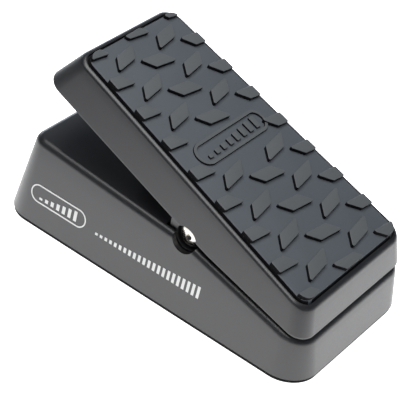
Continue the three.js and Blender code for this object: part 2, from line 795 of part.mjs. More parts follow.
add(pulleyFrame, "pot_body", potBody(), steel);
add(pulleyFrame, "pot_washer", ringX(BUSHING_R + GAP, 5.6, -8.7, -8.2, 24), steel);
add(pulleyFrame, "pot_nut", ringX(BUSHING_R + GAP, 5.4, -7.9, -6.1, 6), steel);
add(pedal, "pot_bracket", potBracket(), steel);
add(pedal, "bracket_screw_heel", bracketScrew(BRACKET_SCREW.y[0]), steel);
add(pedal, "bracket_screw_toe", bracketScrew(BRACKET_SCREW.y[1]), steel);

// ---------------------------------------------------------------- jacks

function jack() {
  const { width, height, y, barrelR, tip, socketR, bottom } = JACK;
  const body = box(-width / 2, width / 2, y[0], y[1], -height / 2, height / 2);
  const barrel = cylinderY(barrelR, y[1] - 1, tip);
  return body.add(barrel).subtract(cylinderY(socketR, bottom, tip + 1));
}

function ringY(inner, outer, y0, y1, segments) {
  return cylinderY(outer, y0, y1, 0, 0, segments).subtract(cylinderY(inner, y0 - 1, y1 + 1));
}

["left", "middle", "right"].forEach((name, i) => {
  const at = [JACK_X[i], 0, JACK_Z];
  const bore = JACK.barrelR + GAP;
  const washerY = PANEL.y + GAP;
  const washerFace = washerY + JACK_WASHER.thickness;
  const nutY = washerFace + GAP;
  const washer = ringY(bore, JACK_WASHER.r, washerY, washerFace, 32);
  const nut = ringY(bore, JACK_NUT.r, nutY, nutY + JACK_NUT.thickness, 6);
  add(pedal, `jack_${name}`, jack().translate(at), blackPlastic);
  add(pedal, `jack_washer_${name}`, washer.translate(at), steel);
  add(pedal, `jack_nut_${name}`, nut.translate(at), steel);
});

// ---------------------------------------------------------------- circuit board, switch and wires

function circuitBoard() {
  const { halfWidth, y, z } = BOARD;
  return box(-halfWidth, halfWidth, y[0], y[1], z[0], z[1]);
}

function slideSwitch() {
  const { x, y, z } = SWITCH;
  return box(x[0], x[1], y[0], y[1], z[0], z[1]).subtract(box(...SWITCH_SLOT));
}

function wire(from, to) {
  const middle = [(from[0] + to[0]) / 2, (from[1] + to[1]) / 2, Math.min(from[2], to[2]) - 4];
  const points = [from, middle, to].map((point) => new THREE.Vector3(...point));
  const extrudePath = new THREE.CatmullRomCurve3(points);
  const section = new THREE.Shape();
  section.absarc(0, 0, WIRE_R, 0, 2 * Math.PI, false);
  return solid(new THREE.ExtrudeGeometry(section, { steps: 10, extrudePath, curveSegments: 4 }));
}

add(pedal, "circuit_board", circuitBoard(), boardGreen);
add(pedal, "slide_switch", slideSwitch(), steel);
add(pedal, "switch_slider", box(...SWITCH_SLIDER), blackPlastic);
LUG_OFFSETS.forEach((offset, i) => {
  const from = [-13, PULLEY.y + offset, PULLEY.z - 12.5 - 2.5 * GAP];
  const to = [-18 + 3.5 * i, BOARD.y[0] - 2.5 * GAP, BOARD.z[0] + 0.8];
  add(pedal, `pot_wire_${i + 1}`, wire(from, to), wireSleeve);
});

export default pedal;
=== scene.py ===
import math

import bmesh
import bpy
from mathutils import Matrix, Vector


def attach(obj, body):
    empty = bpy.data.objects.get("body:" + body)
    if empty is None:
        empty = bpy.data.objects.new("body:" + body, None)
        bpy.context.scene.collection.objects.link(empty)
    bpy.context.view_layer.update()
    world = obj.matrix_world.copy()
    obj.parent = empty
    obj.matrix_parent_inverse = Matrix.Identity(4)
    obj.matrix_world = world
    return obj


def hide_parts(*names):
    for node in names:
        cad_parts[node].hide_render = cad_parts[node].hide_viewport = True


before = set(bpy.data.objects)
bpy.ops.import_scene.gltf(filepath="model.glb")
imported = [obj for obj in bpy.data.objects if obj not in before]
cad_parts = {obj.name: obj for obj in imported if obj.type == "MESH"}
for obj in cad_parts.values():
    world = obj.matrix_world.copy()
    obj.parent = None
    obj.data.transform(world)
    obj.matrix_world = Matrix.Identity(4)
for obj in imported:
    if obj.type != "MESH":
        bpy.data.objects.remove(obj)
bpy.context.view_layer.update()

# The looks of a compact foot volume pedal. Lengths below are in millimetres, in the CAD frame (heel
# at -Y, toe at +Y, Z up). What rides on the treadle is drawn in the treadle's frame: origin on the
# pivot axis, Y along the treadle, Z normal to it. The table's size and glow, the lights and the
# relief of the materials are in metres.

MM = 0.001
CHASSIS = "chassis_body"
TREADLE = "treadle_body"
PULLEY = "pulley_body"

# ---- dimensions shared with the CAD

LENGTH = 148.0
HEEL_HALF, TOE_HALF = 40.2, 35.2
CORNER_R = 13.0
WALL = 2.5
SIDE_DRAFT, HEEL_DRAFT, TOE_DRAFT = 0.106, 0.188, 0.222
BASE_Z, BASE_TOP, CHASSIS_Z = 2.0, 3.2, 3.5
PIVOT_Y, PIVOT_Z = -12.0, 34.8
ROOF_HEEL_SLOPE, ROOF_TOE_SLOPE = 0.245, 0.071
REST_TILT = math.radians(21.84)

RIM_Z = 20.6
RIM_Y0, RIM_Y1 = -51.5, 76.5
RIM_HEEL_HALF, RIM_TOE_HALF = 35.9, 29.6
RIM_CORNER_R = 7.2
SIDE_FLARE, HEEL_FLARE, TOE_FLARE = 0.0054, 0.673, 0.302
# corners of the skirt's lower edge: y, z
SKIRT_EDGE = ((-59.07, 9.35), (-9.91, 4.44), (81.8, 2.95))
PAD_INSET, PAD_RECESS, PAD_PROUD, LUG_HEIGHT = 2.2, 1.8, 0.2, 1.6
RIM_DROP = 0.6
CEILING_Z = 16.3
LUG_PITCH = 15.2
# the two sides of a lug, as x and y
LUG_LONG, LUG_SHORT = (13.5, 1.5), (5.2, 5.8)
BADGE_Y, BADGE_HALF, BADGE_R = 17.9, 22.0, 5.2
BADGE_CLEARANCE, BADGE_HEIGHT = 8.0, 0.9

TREADLE_MATRIX = Matrix.Translation((0, PIVOT_Y, PIVOT_Z)) @ Matrix.Rotation(REST_TILT, 4, "X")

# ---- materials


def node(tree, kind, **inputs):
    made = tree.nodes.new(kind)
    for key, value in inputs.items():
        made.inputs[key.replace("_", " ")].default_value = value
    return made


MOTTLE_SCALE = 55.0
RELIEF_HEIGHT = 0.0002
LEAST_ROUGHNESS = 0.02


def surface(name, color, roughness, metallic=0.0, grain=900.0, bump=0.05, mottle=0.12,
            rough_spread=0.08, specular=0.5, streak=(1, 1, 1)):
    """A Principled material with fine grain, slight mottling and uneven gloss."""
    mat = bpy.data.materials.new(name)
    mat.use_nodes = True
    tree = mat.node_tree
    shader = tree.nodes["Principled BSDF"]
    shader.inputs["Metallic"].default_value = metallic
    shader.inputs["Specular IOR Level"].default_value = specular
    where = tree.nodes.new("ShaderNodeTexCoord")
    mapping = tree.nodes.new("ShaderNodeMapping")
    mapping.inputs["Scale"].default_value = streak
    tree.links.new(where.outputs["Object"], mapping.inputs["Vector"])
    coarse = node(tree, "ShaderNodeTexNoise", Scale=MOTTLE_SCALE, Detail=3.0)
    fine = node(tree, "ShaderNodeTexNoise", Scale=grain, Detail=2.0)
    for noise in (coarse, fine):
        tree.links.new(mapping.outputs["Vector"], noise.inputs["Vector"])
    tint = tree.nodes.new("ShaderNodeMix")
    tint.data_type = "RGBA"
    tint.inputs["A"].default_value = (*[c * (1 - mottle) for c in color], 1)
    tint.inputs["B"].default_value = (*[min(1, c * (1 + mottle)) for c in color], 1)
    tree.links.new(coarse.outputs["Fac"], tint.inputs["Factor"])
    tree.links.new(tint.outputs["Result"], shader.inputs["Base Color"])
    gloss = tree.nodes.new("ShaderNodeMapRange")
    gloss.inputs["To Min"].default_value = max(LEAST_ROUGHNESS, roughness - rough_spread)
    gloss.inputs["To Max"].default_value = min(1.0, roughness + rough_spread)
    tree.links.new(fine.outputs["Fac"], gloss.inputs["Value"])
    tree.links.new(gloss.outputs["Result"], shader.inputs["Roughness"])
    relief = node(tree, "ShaderNodeBump", Strength=bump, Distance=RELIEF_HEIGHT)
    tree.links.new(fine.outputs["Fac"], relief.inputs["Height"])
    tree.links.new(relief.outputs["Normal"], shader.inputs["Normal"])
    return mat


PAINT = surface("powder_coat", (0.011, 0.0113, 0.0125), 0.36, grain=1400, bump=0.1, specular=0.62)
PLATE_PAINT = surface("plate_coat", (0.005, 0.005, 0.0055), 0.75, grain=1400, bump=0.1,
                      specular=0.15)
# The slab between the lugs is a little darker and bluer than the lug tops: partly a rougher moulded
# finish, partly painted shade between the lugs.
TREAD = surface("tread_rubber", (0.067, 0.077, 0.088), 0.6, grain=1800, bump=0.2, specular=0.4)
LUG_TOP_RUBBER = surface("tread_lug_rubber", (0.08, 0.086, 0.09), 0.55, grain=1800,
                         bump=0.16, specular=0.4)
# painted shade: the tread rubber made near-black, for the steep sides of the pad, lugs and badge
TREAD_PAINTED_SHADE = surface("tread_side_painted_shade", (0.002, 0.002, 0.003), 0.85, grain=1800, bump=0.1,
                     specular=0.2)
RUBBER = surface("foot_rubber", (0.012, 0.012, 0.013), 0.75, grain=1200, bump=0.2)
CHROME = surface("chrome", (0.52, 0.5, 0.46), 0.2, metallic=1.0, bump=0.02, mottle=0.04,
                 rough_spread=0.06)
ZINC = surface("zinc_plate", (0.55, 0.55, 0.54), 0.32, metallic=1.0, bump=0.05,
               streak=(1, 6, 6))
BAND_STEEL = surface("spring_steel", (0.6, 0.6, 0.6), 0.22, metallic=1.0, bump=0.03,
                     streak=(1, 8, 8))
NYLON = surface("natural_nylon", (0.72, 0.7, 0.62), 0.45, bump=0.05, mottle=0.05)
BLACK_NYLON = surface("black_nylon", (0.012, 0.012, 0.013), 0.4, bump=0.1)
BOARD = surface("solder_mask", (0.015, 0.11, 0.045), 0.3, grain=300, bump=0.05)
SLEEVE = surface("wire_sleeve", (0.3, 0.02, 0.02), 0.45, bump=0.02)
INK = surface("white_print", (0.56, 0.56, 0.55), 0.5, bump=0.03, mottle=0.03)

# ---- outlines


def turned(v, angle):
    c, s = math.cos(angle), math.sin(angle)
    return v.x * c - v.y * s, v.x * s + v.y * c


def quarter_turn(steps, first=0):
    """Sine and cosine at even steps through a quarter of a turn."""
    for k in range(first, steps + 1):
        angle = math.pi / 2 * k / steps
        yield math.sin(angle), math.cos(angle)


def rounded_outline(corners, radius, arc_steps, side_cuts):
    """Points round a convex outline, anticlockwise. side_cuts gives the parameters at which each
    side, from one corner's arc to the next, is divided."""
    arcs = []
    for i, corner in enumerate(corners):
        corner = Vector(corner)
        before = (Vector(corners[i - 1]) - corner).normalized()
        after = (Vector(corners[(i + 1) % len(corners)]) - corner).normalized()
        half = math.acos(max(-1, min(1, before.dot(after)))) / 2
        centre = corner + (before + after).normalized() * (radius / math.sin(half))
        start = corner + before * (radius / math.tan(half)) - centre
        arcs.append((centre, start, math.pi - 2 * half))
    points = []
    for (centre, start, sweep), following, cuts in zip(arcs, arcs[1:] + arcs[:1], side_cuts):
        for k in range(arc_steps + 1):
            points.append(centre + Vector(turned(start, sweep * k / arc_steps)))
        last, next_first = points[-1], following[0] + following[1]
        points += [last.lerp(next_first, t) for t in cuts]
    return points


def even(n):
    """The parameters that divide a side into n equal parts."""
    return [k / n for k in range(1, n)]


LEAST_CORNER_R = 0.05


def tapered_outline(heel, toe, y0, y1, inset, radius, arc_steps, cuts):
    """A trapezium from half width heel at y0 to half width toe at y1, drawn in by inset."""
    lean = (heel - toe) / (y1 - y0)
    h, t = heel - inset - lean * inset, toe - inset + lean * inset
    corners = [(-h, y0 + inset), (h, y0 + inset), (t, y1 - inset), (-t, y1 - inset)]
    return rounded_outline(corners, max(LEAST_CORNER_R, radius - inset), arc_steps, cuts)


# ---- mesh helpers


SMOOTH_ANGLE = math.radians(35.0)
BEVEL_ANGLE = math.radians(40.0)


def shade(mesh):
    """Smooth shading, with a sharp edge wherever the faces turn by more than that angle."""
    for poly in mesh.polygons:
        poly.use_smooth = True
    mesh.set_sharp_from_angle(angle=SMOOTH_ANGLE)


def new_object(name, bm, matrix=None):
    """A mesh drawn in millimetres becomes an object in metres."""
    if matrix is not None:
        bm.transform(matrix)
    bm.transform(Matrix.Scale(MM, 4))
    bmesh.ops.recalc_face_normals(bm, faces=bm.faces)
    mesh = bpy.data.meshes.new(name)
    bm.to_mesh(mesh)
    bm.free()
    obj = bpy.data.objects.new(name, mesh)
    bpy.context.collection.objects.link(obj)
    return obj


def finish_object(name, bm, mat, body, matrix=None, replaces=()):
    """A shown piece, which rides on a body. mat is one material or a list of them."""
    obj = new_object(name, bm, matrix)
    for m in mat if isinstance(mat, list) else [mat]:
        obj.data.materials.append(m)
    shade(obj.data)
    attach(obj, body)
    if replaces:
        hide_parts(*replaces)
    return obj


def loft(rings, cap_first=True, cap_last=True):
    """A skin through rings of equal length. A cap is True, False or a pair of indices that splits
    it."""
    bm = bmesh.new()
    rows = [[bm.verts.new(p) for p in ring] for ring in rings]
    n = len(rings[0])
    for a, b in zip(rows, rows[1:]):
        for i in range(n):
            j = (i + 1) % n
            bm.faces.new((a[i], a[j], b[j], b[i]))
    for row, cap in ((rows[0], cap_first), (rows[-1], cap_last)):
        if cap is True:
            bm.faces.new(row)
        elif cap:
            i, j = sorted(cap)
            bm.faces.new(row[i:j + 1])
            bm.faces.new(row[j:] + row[:i + 1])
    return bm


def lathe(profile, axis="X", steps=64, at=(0, 0, 0)):
    """A piece turned about an axis, from (distance along the axis, radius) corners."""
    bm = bmesh.new()
    turn = {"X": lambda a, r, c, s: (a, r * c, r * s), "Y": lambda a, r, c, s: (r * s, a, r * c),
            "Z": lambda a, r, c, s: (r * c, r * s, a)}[axis]
    full_turn = [2 * math.pi * k / steps for k in range(steps)]
    rows = [[bm.verts.new(Vector(turn(along, radius, math.cos(a), math.sin(a))) + Vector(at))
             for a in (full_turn if radius else [0.0])] for along, radius in profile]
    for a, b in zip(rows, rows[1:]):
        for k in range(steps):
            m = (k + 1) % steps
            if len(a) == 1:
                bm.faces.new((a[0], b[m], b[k]))
            elif len(b) == 1:
                bm.faces.new((a[k], a[m], b[0]))
            else:
                bm.faces.new((a[k], a[m], b[m], b[k]))
    return bm


def prism(outline, low, high, plane="YZ"):
    """A flat outline given thickness. plane YZ: thickness along X; XZ: along Y; XY: along Z."""
    place = {"YZ": lambda p, h: (h, p[0], p[1]), "XZ": lambda p, h: (p[0], h, p[1]),
             "XY": lambda p, h: (p[0], p[1], h)}[plane]
    return loft([[place(p, low) for p in outline], [place(p, high) for p in outline]])


def block(x0, x1, y0, y1, z0, z1):
    return prism([(x0, y0), (x1, y0), (x1, y1), (x0, y1)], z0, z1, "XY")


def arc_points(radius, steps, start, end):
    return [(radius * math.cos(start + (end - start) * k / steps),
             radius * math.sin(start + (end - start) * k / steps)) for k in range(steps + 1)]


def scratch(bm, matrix=None):
    """A tool for cut(), not shown."""
    return new_object("tool", bm, matrix)


def cut(obj, tools, operation="DIFFERENCE"):
    """Applies booleans to obj, one tool after another, and deletes the tools."""
    for tool in tools:
        mod = obj.modifiers.new("cut", "BOOLEAN")
        mod.operation = operation
        mod.solver = "EXACT"
        mod.object = tool
    bake(obj)
    for tool in tools:
        bpy.data.objects.remove(tool)


def bake(obj):
    """Applies the object's modifiers."""
    graph = bpy.context.evaluated_depsgraph_get()
    mesh = bpy.data.meshes.new_from_object(obj.evaluated_get(graph))
    obj.modifiers.clear()
    obj.data = mesh
    shade(mesh)


def bevel(obj, width, segments=3):
    mod = obj.modifiers.new("edge", "BEVEL")
    mod.width = width * MM
    mod.segments = segments
    mod.limit_method = "ANGLE"
    mod.angle_limit = BEVEL_ANGLE
    bake(obj)


# ---- chassis

ARC = 16
CHASSIS_CUTS = [even(8), sorted(even(28) + [0.4]), even(8), sorted(even(28) + [0.6])]
TOP_FILLET = 2.8
TOP_CORNER_R = 7.5
CORNER_SPAN = 36.0  # height over which the corners tighten to that radius
FOOT_CHAMFER = 0.35
WALL_LEVELS, FILLET_STEPS = 5, 8

BASE_INSET, BASE_CHAMFER, BASE_HOLE_R = 0.5, 0.25, 1.9
SCREWS = {"heel": (32, -66), "toe": (28.5, 65.5)}
FEET = {"heel": (27, -50), "toe": (25, 49)}
BRACKET_SCREWS = {"heel": 13, "toe": 19.5}
BRACKET_SCREW_X = -16
PILLAR_WALL = 2.0

PANEL_Y, PANEL_HALF, PANEL_Z, PANEL_CORNER_R = 67.4, 26.0, (14.0, 32.0), 3
JACK_X = (-15.5, 0.0, 15.5)
JACK_Z, JACK_R = 23.0, 4.4
BEYOND_TOE = 95
# openings in the roof, as the ends of a box in X, Y and Z
SECTOR_SLOT = (-5.5, 5.5, 16, 32, 25, 50)
EAR_SLOT = (24.4, 32.4, PIVOT_Y - 10.5, PIVOT_Y + 10.5, 22, 50)
SHAFT_BORE_R, SHAFT_BORE_HALF = 6.5, 25
NOTCH_R = 5.4  # half-round recess beside each pivot screw
SIDES = {"left": -1, "right": 1}


def roof_z(y):
    slope = ROOF_HEEL_SLOPE if y < PIVOT_Y else ROOF_TOE_SLOPE
    return PIVOT_Z + slope * (y - PIVOT_Y)


def chassis_outline(inset, radius=CORNER_R):
    return tapered_outline(HEEL_HALF, TOE_HALF, -LENGTH / 2, LENGTH / 2, inset, radius, ARC,
                           CHASSIS_CUTS)


def drafted(pair, z):
    """A point of the chassis outline, raised to height z along the drafted wall. The corners
    tighten with height: pair is that point with the foot's corner radius and with the top's."""
    s = z - CHASSIS_Z
    p = Vector(pair[0]).lerp(Vector(pair[1]), s / CORNER_SPAN)
    along = p[1] / LENGTH + 0.5
    lean = HEEL_DRAFT - (HEEL_DRAFT + TOE_DRAFT) * along
    return Vector((p[0] * (1 - SIDE_DRAFT * s / HEEL_HALF), p[1] + lean * s, z))


def roof_height(p, drop):
    """Where the drafted wall meets the roof, found by a few rounds of substitution."""
    z = 30.0
    for _ in range(6):
        z = roof_z(drafted(p, z).y) - drop
    return z


def chassis_pairs(inset):
    """The outline as drafted() takes it."""
    return list(zip(chassis_outline(inset), chassis_outline(inset, TOP_CORNER_R)))


def chassis_form(wall, drop, fillet, z0):
    """The chassis form from height z0 up, drawn inside its walls by wall and under its roof by
    drop. With a fillet, its top edge is rounded and its foot chamfered."""
    outer = chassis_pairs(wall)
    inner = chassis_pairs(wall + fillet) if fillet else outer
    tops = [roof_height(p, drop) for p in inner]
    rings = [[drafted(p, z0) for p in outer]]
    if fillet:
        rings = [[drafted(p, z0) for p in chassis_pairs(wall + FOOT_CHAMFER)],
                 [drafted(p, z0 + FOOT_CHAMFER) for p in outer]]
    for k in range(1, WALL_LEVELS):
        rings.append([drafted(p, z0 + FOOT_CHAMFER
                              + (t - fillet - z0 - FOOT_CHAMFER) * k / WALL_LEVELS)
                      for p, t in zip(outer, tops)])
    if fillet:
        for sine, cosine in quarter_turn(FILLET_STEPS):
            ring = chassis_pairs(wall + fillet * (1 - cosine))
            rings.append([drafted(p, t - fillet * (1 - sine)) for p, t in zip(ring, tops)])
    else:
        rings.append([drafted(p, t) for p, t in zip(outer, tops)])
    last = rings[-1]
    kinks = sorted(range(len(last)), key=lambda i: abs(last[i].y - PIVOT_Y))
    right = next(i for i in kinks if last[i].x > 0)
    left = next(i for i in kinks if last[i].x < 0)
    return loft(rings, True, (right, left))


def both_sides(make):
    """The same mesh on the right and, turned over, on the left."""
    left = make()
    left.transform(Matrix.Scale(-1, 4, Vector((1, 0, 0))))
    return [make(), left]


def cylinder_x(radius, x0, x1, y=0.0, z=0.0):
    return lathe([(x0, 0), (x0, radius), (x1, radius), (x1, 0)], "X", 64, (0, y, z))


def cylinder_y(radius, y0, y1, x, z):
    return lathe([(y0, 0), (y0, radius), (y1, radius), (y1, 0)], "Y", 48, (x, 0, z))


def cylinder_z(radius, z0, z1, x, y):
    return lathe([(z0, 0), (z0, radius), (z1, radius), (z1, 0)], "Z", 48, (x, y, 0))


def panel_outline():
    z0, z1 = PANEL_Z
    corners = [(-PANEL_HALF, z0), (PANEL_HALF, z0), (PANEL_HALF, z1), (-PANEL_HALF, z1)]
    return rounded_outline(corners, PANEL_CORNER_R, 8, [[]] * 4)


def build_chassis():
    form = chassis_form(0, 0, TOP_FILLET, CHASSIS_Z)
    shell = finish_object("chassis_shell", form, PAINT, CHASSIS, replaces=("chassis",))
    hollow = scratch(chassis_form(WALL, WALL, 0, CHASSIS_Z - 1.5))
    jack_wall = block(-PANEL_HALF - WALL, PANEL_HALF + WALL, PANEL_Y - 3, BEYOND_TOE,
                      PANEL_Z[0] - WALL, PANEL_Z[1] + WALL)
    cut(hollow, [scratch(jack_wall)])
    openings = [prism(panel_outline(), PANEL_Y, BEYOND_TOE, "XZ")]
    openings += [cylinder_y(JACK_R + 0.3, PANEL_Y - 8, BEYOND_TOE, x, JACK_Z) for x in JACK_X]
    openings += [block(*SECTOR_SLOT),
                 cylinder_x(SHAFT_BORE_R, -SHAFT_BORE_HALF, SHAFT_BORE_HALF, PIVOT_Y, PIVOT_Z)]
    openings += both_sides(lambda: block(*EAR_SLOT))
    openings += both_sides(lambda: cylinder_x(NOTCH_R, 31, 42, PIVOT_Y, PIVOT_Z))
    cut(shell, [hollow] + [scratch(bm) for bm in openings])
    post = [(15, 7.3), (15, 8.7), (15.3, 9), (21.7, 9), (22, 8.7), (22, 7.3), (15, 7.3)]
    posts = both_sides(lambda: lathe(post, "X", 64, (0, PIVOT_Y, PIVOT_Z)))
    for side, bm in zip(("right", "left"), posts):
        finish_object(f"pivot_post_{side}", bm, PAINT, CHASSIS)


def build_pillars():
    """The cast pillars that the base screws and the bracket's screws bite into."""
    places = [(f"base_pillar_{end}_{side}", sign * x, y, 4.0, CHASSIS_Z, 12.0)
              for end, (x, y) in SCREWS.items() for side, sign in SIDES.items()]
    places += [(f"bracket_pillar_{end}", BRACKET_SCREW_X, y, 3.2, 33.1, 45.0)
               for end, y in BRACKET_SCREWS.items()]
    for name, x, y, radius, low, high in places:
        pillar = finish_object(name, cylinder_z(radius, low, high, x, y), PAINT, CHASSIS)
        cut(pillar, [scratch(chassis_form(1.2, 1.2, 0, CHASSIS_Z - 2))], "INTERSECT")
        cut(pillar, [scratch(cylinder_z(radius - PILLAR_WALL, low - 1, low + 3, x, y))])


def build_base_plate():
    outline = chassis_outline(BASE_INSET)
    inner = chassis_outline(BASE_INSET + BASE_CHAMFER)
    sheet = loft([[(p[0], p[1], z) for p in points]
                  for points, z in ((inner, BASE_Z), (outline, BASE_Z + BASE_CHAMFER),
                                    (outline, BASE_TOP - BASE_CHAMFER), (inner, BASE_TOP))])
    plate = finish_object("base_plate_sheet", sheet, PLATE_PAINT, CHASSIS, replaces=("base_plate",))
    cut(plate, [scratch(cylinder_z(BASE_HOLE_R, 0, 5, sign * x, y)) for x, y in SCREWS.values()
                for sign in SIDES.values()])


def build_feet():
    """The rubber feet, and the heads of the cross-slotted base screws."""
    foot_profile = [(1.7, 0), (1.7, 5.7)]
    foot_profile += [(1.7 - 0.3 * (1 - sine), 6 - 0.3 * (1 - cosine))
                     for sine, cosine in quarter_turn(4, 1)]
    foot_profile += [(0.7, 6)] + [(0.7 - 0.7 * math.sin(t), 6 - 0.7 * (1 - math.cos(t)))
                                  for t in (0.4, 0.8, 1.2, math.pi / 2)]
    foot_profile += [(0.0, 3.2), (0.25, 3.0), (0.25, 0)]
    head_profile = [(1.7, 0), (1.7, 2.9), (1.5, 3), (1.1, 3), (0.8, 2.7), (0.6, 2.1), (0.55, 0)]
    for end in ("heel", "toe"):
        for side, sign in SIDES.items():
            x, y = FEET[end]
            foot = lathe(foot_profile, "Z", 64, (sign * x, y, 0))
            finish_object(f"rubber_foot_{end}_{side}", foot, RUBBER, CHASSIS,
                          replaces=(f"foot_{end}_{side}",))
            x, y = sign * SCREWS[end][0], SCREWS[end][1]
            screw = finish_object(f"base_screw_head_{end}_{side}",
                                  lathe(head_profile, "Z", 48, (x, y, 0)), ZINC, CHASSIS,
                                  replaces=(f"base_screw_{end}_{side}",))
            cut(screw, [scratch(block(x - a, x + a, y - b, y + b, 0.2, 1.1))
                        for a, b in ((1.6, 0.3), (0.3, 1.6))])


build_chassis()
build_pillars()
build_base_plate()
build_feet()

# ---- treadle

TREADLE_CUTS = [even(8), sorted(even(30) + [0.315]), even(8), sorted(even(30) + [0.685])]
RIM_FILLET = 1.4
LIP_R = 0.2
SKIRT_WALL, SKIRT_LAND = 2.6, 0.7
ARCH_R = 6.6  # half-round arch in the skirt over each pivot screw
EAR_R, EAR_INNER_X, EAR_OUTER_X = 9, 25, 31.8
GROOVE_INSET = 1.65  # the groove round the tread runs from here to the edge of the rubber
# x, y, radius, lower end
BUMPER_BOSSES = {"heel": (22, -43, 4, 9.9), "toe": (17, 62, 4, 4.3)}
# half width, y from and to, lower face, x of its screws
SECTOR_SEAT = (9, 25, 41, 13.8, 6.2)


def rim_outline(inset):
    return tapered_outline(RIM_HEEL_HALF, RIM_TOE_HALF, RIM_Y0, RIM_Y1, inset, RIM_CORNER_R, 12,
                           TREADLE_CUTS)


def flared(p, z):
    depth = RIM_Z - z
    along = (p[1] - RIM_Y0) / (RIM_Y1 - RIM_Y0)
    lean = -HEEL_FLARE + (HEEL_FLARE + TOE_FLARE) * along
    return Vector((p[0] * (1 + SIDE_FLARE * depth), p[1] + lean * depth, z))


def edge_z(y):
    """Height of the skirt's lower edge, which has a kink between two straight runs."""
    (ya, za), (yb, zb), (yc, zc) = SKIRT_EDGE
    return max(za + (zb - za) * (y - ya) / (yb - ya), zb + (zc - zb) * (y - yb) / (yc - yb))


def skirt_z(p):
    """Where the flared wall meets the skirt's lower edge, found as in roof_height()."""
    z = 5.0
    for _ in range(8):
        z = edge_z(flared(p, z).y)
    return z


def build_treadle():
    """The hollow shell: its ceiling and inner wall, the skirt's lower edge, the outer wall, the
    rounded rim and the groove round the tread."""
    outer, inner = rim_outline(0), rim_outline(SKIRT_WALL)
    lows = [skirt_z(p) for p in outer]
    rings = [[flared(p, CEILING_Z) for p in inner]]
    for k in (0.6, 1.0):
        rings.append([flared(p, CEILING_Z + (z + 0.25 - CEILING_Z) * k)
                      for p, z in zip(inner, lows)])
    for inset, above in ((2.3, 0), (0.45, 0), (0.25, 0.1)):
        rings.append([flared(p, z + above) for p, z in zip(rim_outline(inset), lows)])
    for above in (0.25, 0.35, 0.7, 0.8):  # upright up to SKIRT_LAND
        held = [flared(p, z + max(above, SKIRT_LAND)) for p, z in zip(outer, lows)]
        rings.append([Vector((p.x, p.y, z + above)) for p, z in zip(held, lows)])
    lip = RIM_Z - RIM_DROP
    top = lip - RIM_FILLET
    for k in (0.25, 0.5, 0.75, 1.0):
        rings.append([flared(p, z + 0.8 + (top - z - 0.8) * k) for p, z in zip(outer, lows)])
    for sine, cosine in quarter_turn(8, 1):
        rings.append([flared(p, top + RIM_FILLET * sine)
                      for p in rim_outline(RIM_FILLET * (1 - cosine))])
    for sine, cosine in quarter_turn(3):
        rings.append([flared(p, lip - LIP_R * (1 - cosine))
                      for p in rim_outline(GROOVE_INSET - LIP_R * (1 - sine))])
    rings.append([flared(p, RIM_Z - PAD_RECESS) for p in rim_outline(GROOVE_INSET)])
    shell = finish_object("treadle_shell", loft(rings), PAINT, TREADLE, TREADLE_MATRIX,
                          replaces=("treadle",))
    arches = both_sides(lambda: cylinder_x(ARCH_R, 32.2, 45))
    cut(shell, [scratch(bm, TREADLE_MATRIX) for bm in arches])


def boss(radius, bottom, x, y):
    """A cast pillar with a rounded lower edge, hung from the underside of the treadle plate."""
    profile = [(bottom, 0), (bottom, radius - 0.4)]
    profile += [(bottom + 0.4 * (1 - math.cos(t)), radius - 0.4 * (1 - math.sin(t)))
                for t in (0.5, 1.0, math.pi / 2)]
    return lathe(profile + [(CEILING_Z + 0.3, radius), (CEILING_Z + 0.3, 0)], "Z", 48, (x, y, 0))


def build_treadle_bosses():
    for end, (x, y, radius, bottom) in BUMPER_BOSSES.items():
        for side, sign in SIDES.items():
            finish_object(f"bumper_boss_{end}_{side}", boss(radius, bottom, sign * x, y), PAINT,
                          TREADLE, TREADLE_MATRIX)
    half, y0, y1, low, screw_x = SECTOR_SEAT
    seat = finish_object("sector_seat_casting", block(-half, half, y0, y1, low, CEILING_Z + 0.3),
                         PAINT, TREADLE, TREADLE_MATRIX)
    cut(seat, [scratch(cylinder_z(1.5, 5, CEILING_Z + 1, sign * screw_x, (y0 + y1) / 2),
                       TREADLE_MATRIX) for sign in (-1, 1)])
    bevel(seat, 0.4)


def on_side(sign):
    """The treadle's frame, turned over for what is on its left."""
    return TREADLE_MATRIX @ Matrix.Scale(sign, 4, (1, 0, 0))


def build_ears():
    """The two ears that hang from the treadle plate and carry the pivot screws."""
    web = arc_points(EAR_R, 40, math.pi, 2 * math.pi - REST_TILT)
    web += [(16, CEILING_Z + 0.5), (-EAR_R, CEILING_Z + 0.5)]
    for side, sign in (("right", 1), ("left", -1)):
        ear = finish_object(f"treadle_ear_{side}", prism(web, EAR_INNER_X, EAR_OUTER_X), PAINT,
                            TREADLE, on_side(sign))
        cut(ear, [scratch(cylinder_x(5.6, 29.2, 40), on_side(sign)),
                  scratch(cylinder_x(3.3, 20, 40), on_side(sign))])
        bevel(ear, 0.5)


build_treadle()
build_treadle_bosses()
build_ears()

# ---- tread pad


def narrowing(y):
    along = (y - RIM_Y0) / (RIM_Y1 - RIM_Y0)
    return 1 - (1 - RIM_TOE_HALF / RIM_HEEL_HALF) * along


def clip(poly, a, b):
    """Keeps the part of a convex polygon on the left of the line from a to b."""
    side = [(b[0] - a[0]) * (p[1] - a[1]) - (b[1] - a[1]) * (p[0] - a[0]) for p in poly]
    out = []
    for i, p in enumerate(poly):
        q = poly[(i + 1) % len(poly)]
        s, t = side[i], side[(i + 1) % len(poly)]
        if s >= 0:
            out.append(p)
        if s * t < 0:
            f = s / (s - t)
            out.append((p[0] + (q[0] - p[0]) * f, p[1] + (q[1] - p[1]) * f))
    return out


def area(poly):
    return sum(p[0] * q[1] - q[0] * p[1] for p, q in zip(poly, poly[1:] + poly[:1])) / 2


def tidy_polygon(poly, least=0.25):
    """Drops corners that lie on top of the next one."""
    return [p for i, p in enumerate(poly)
            if (Vector(p) - Vector(poly[(i + 1) % len(poly)])).length > least]


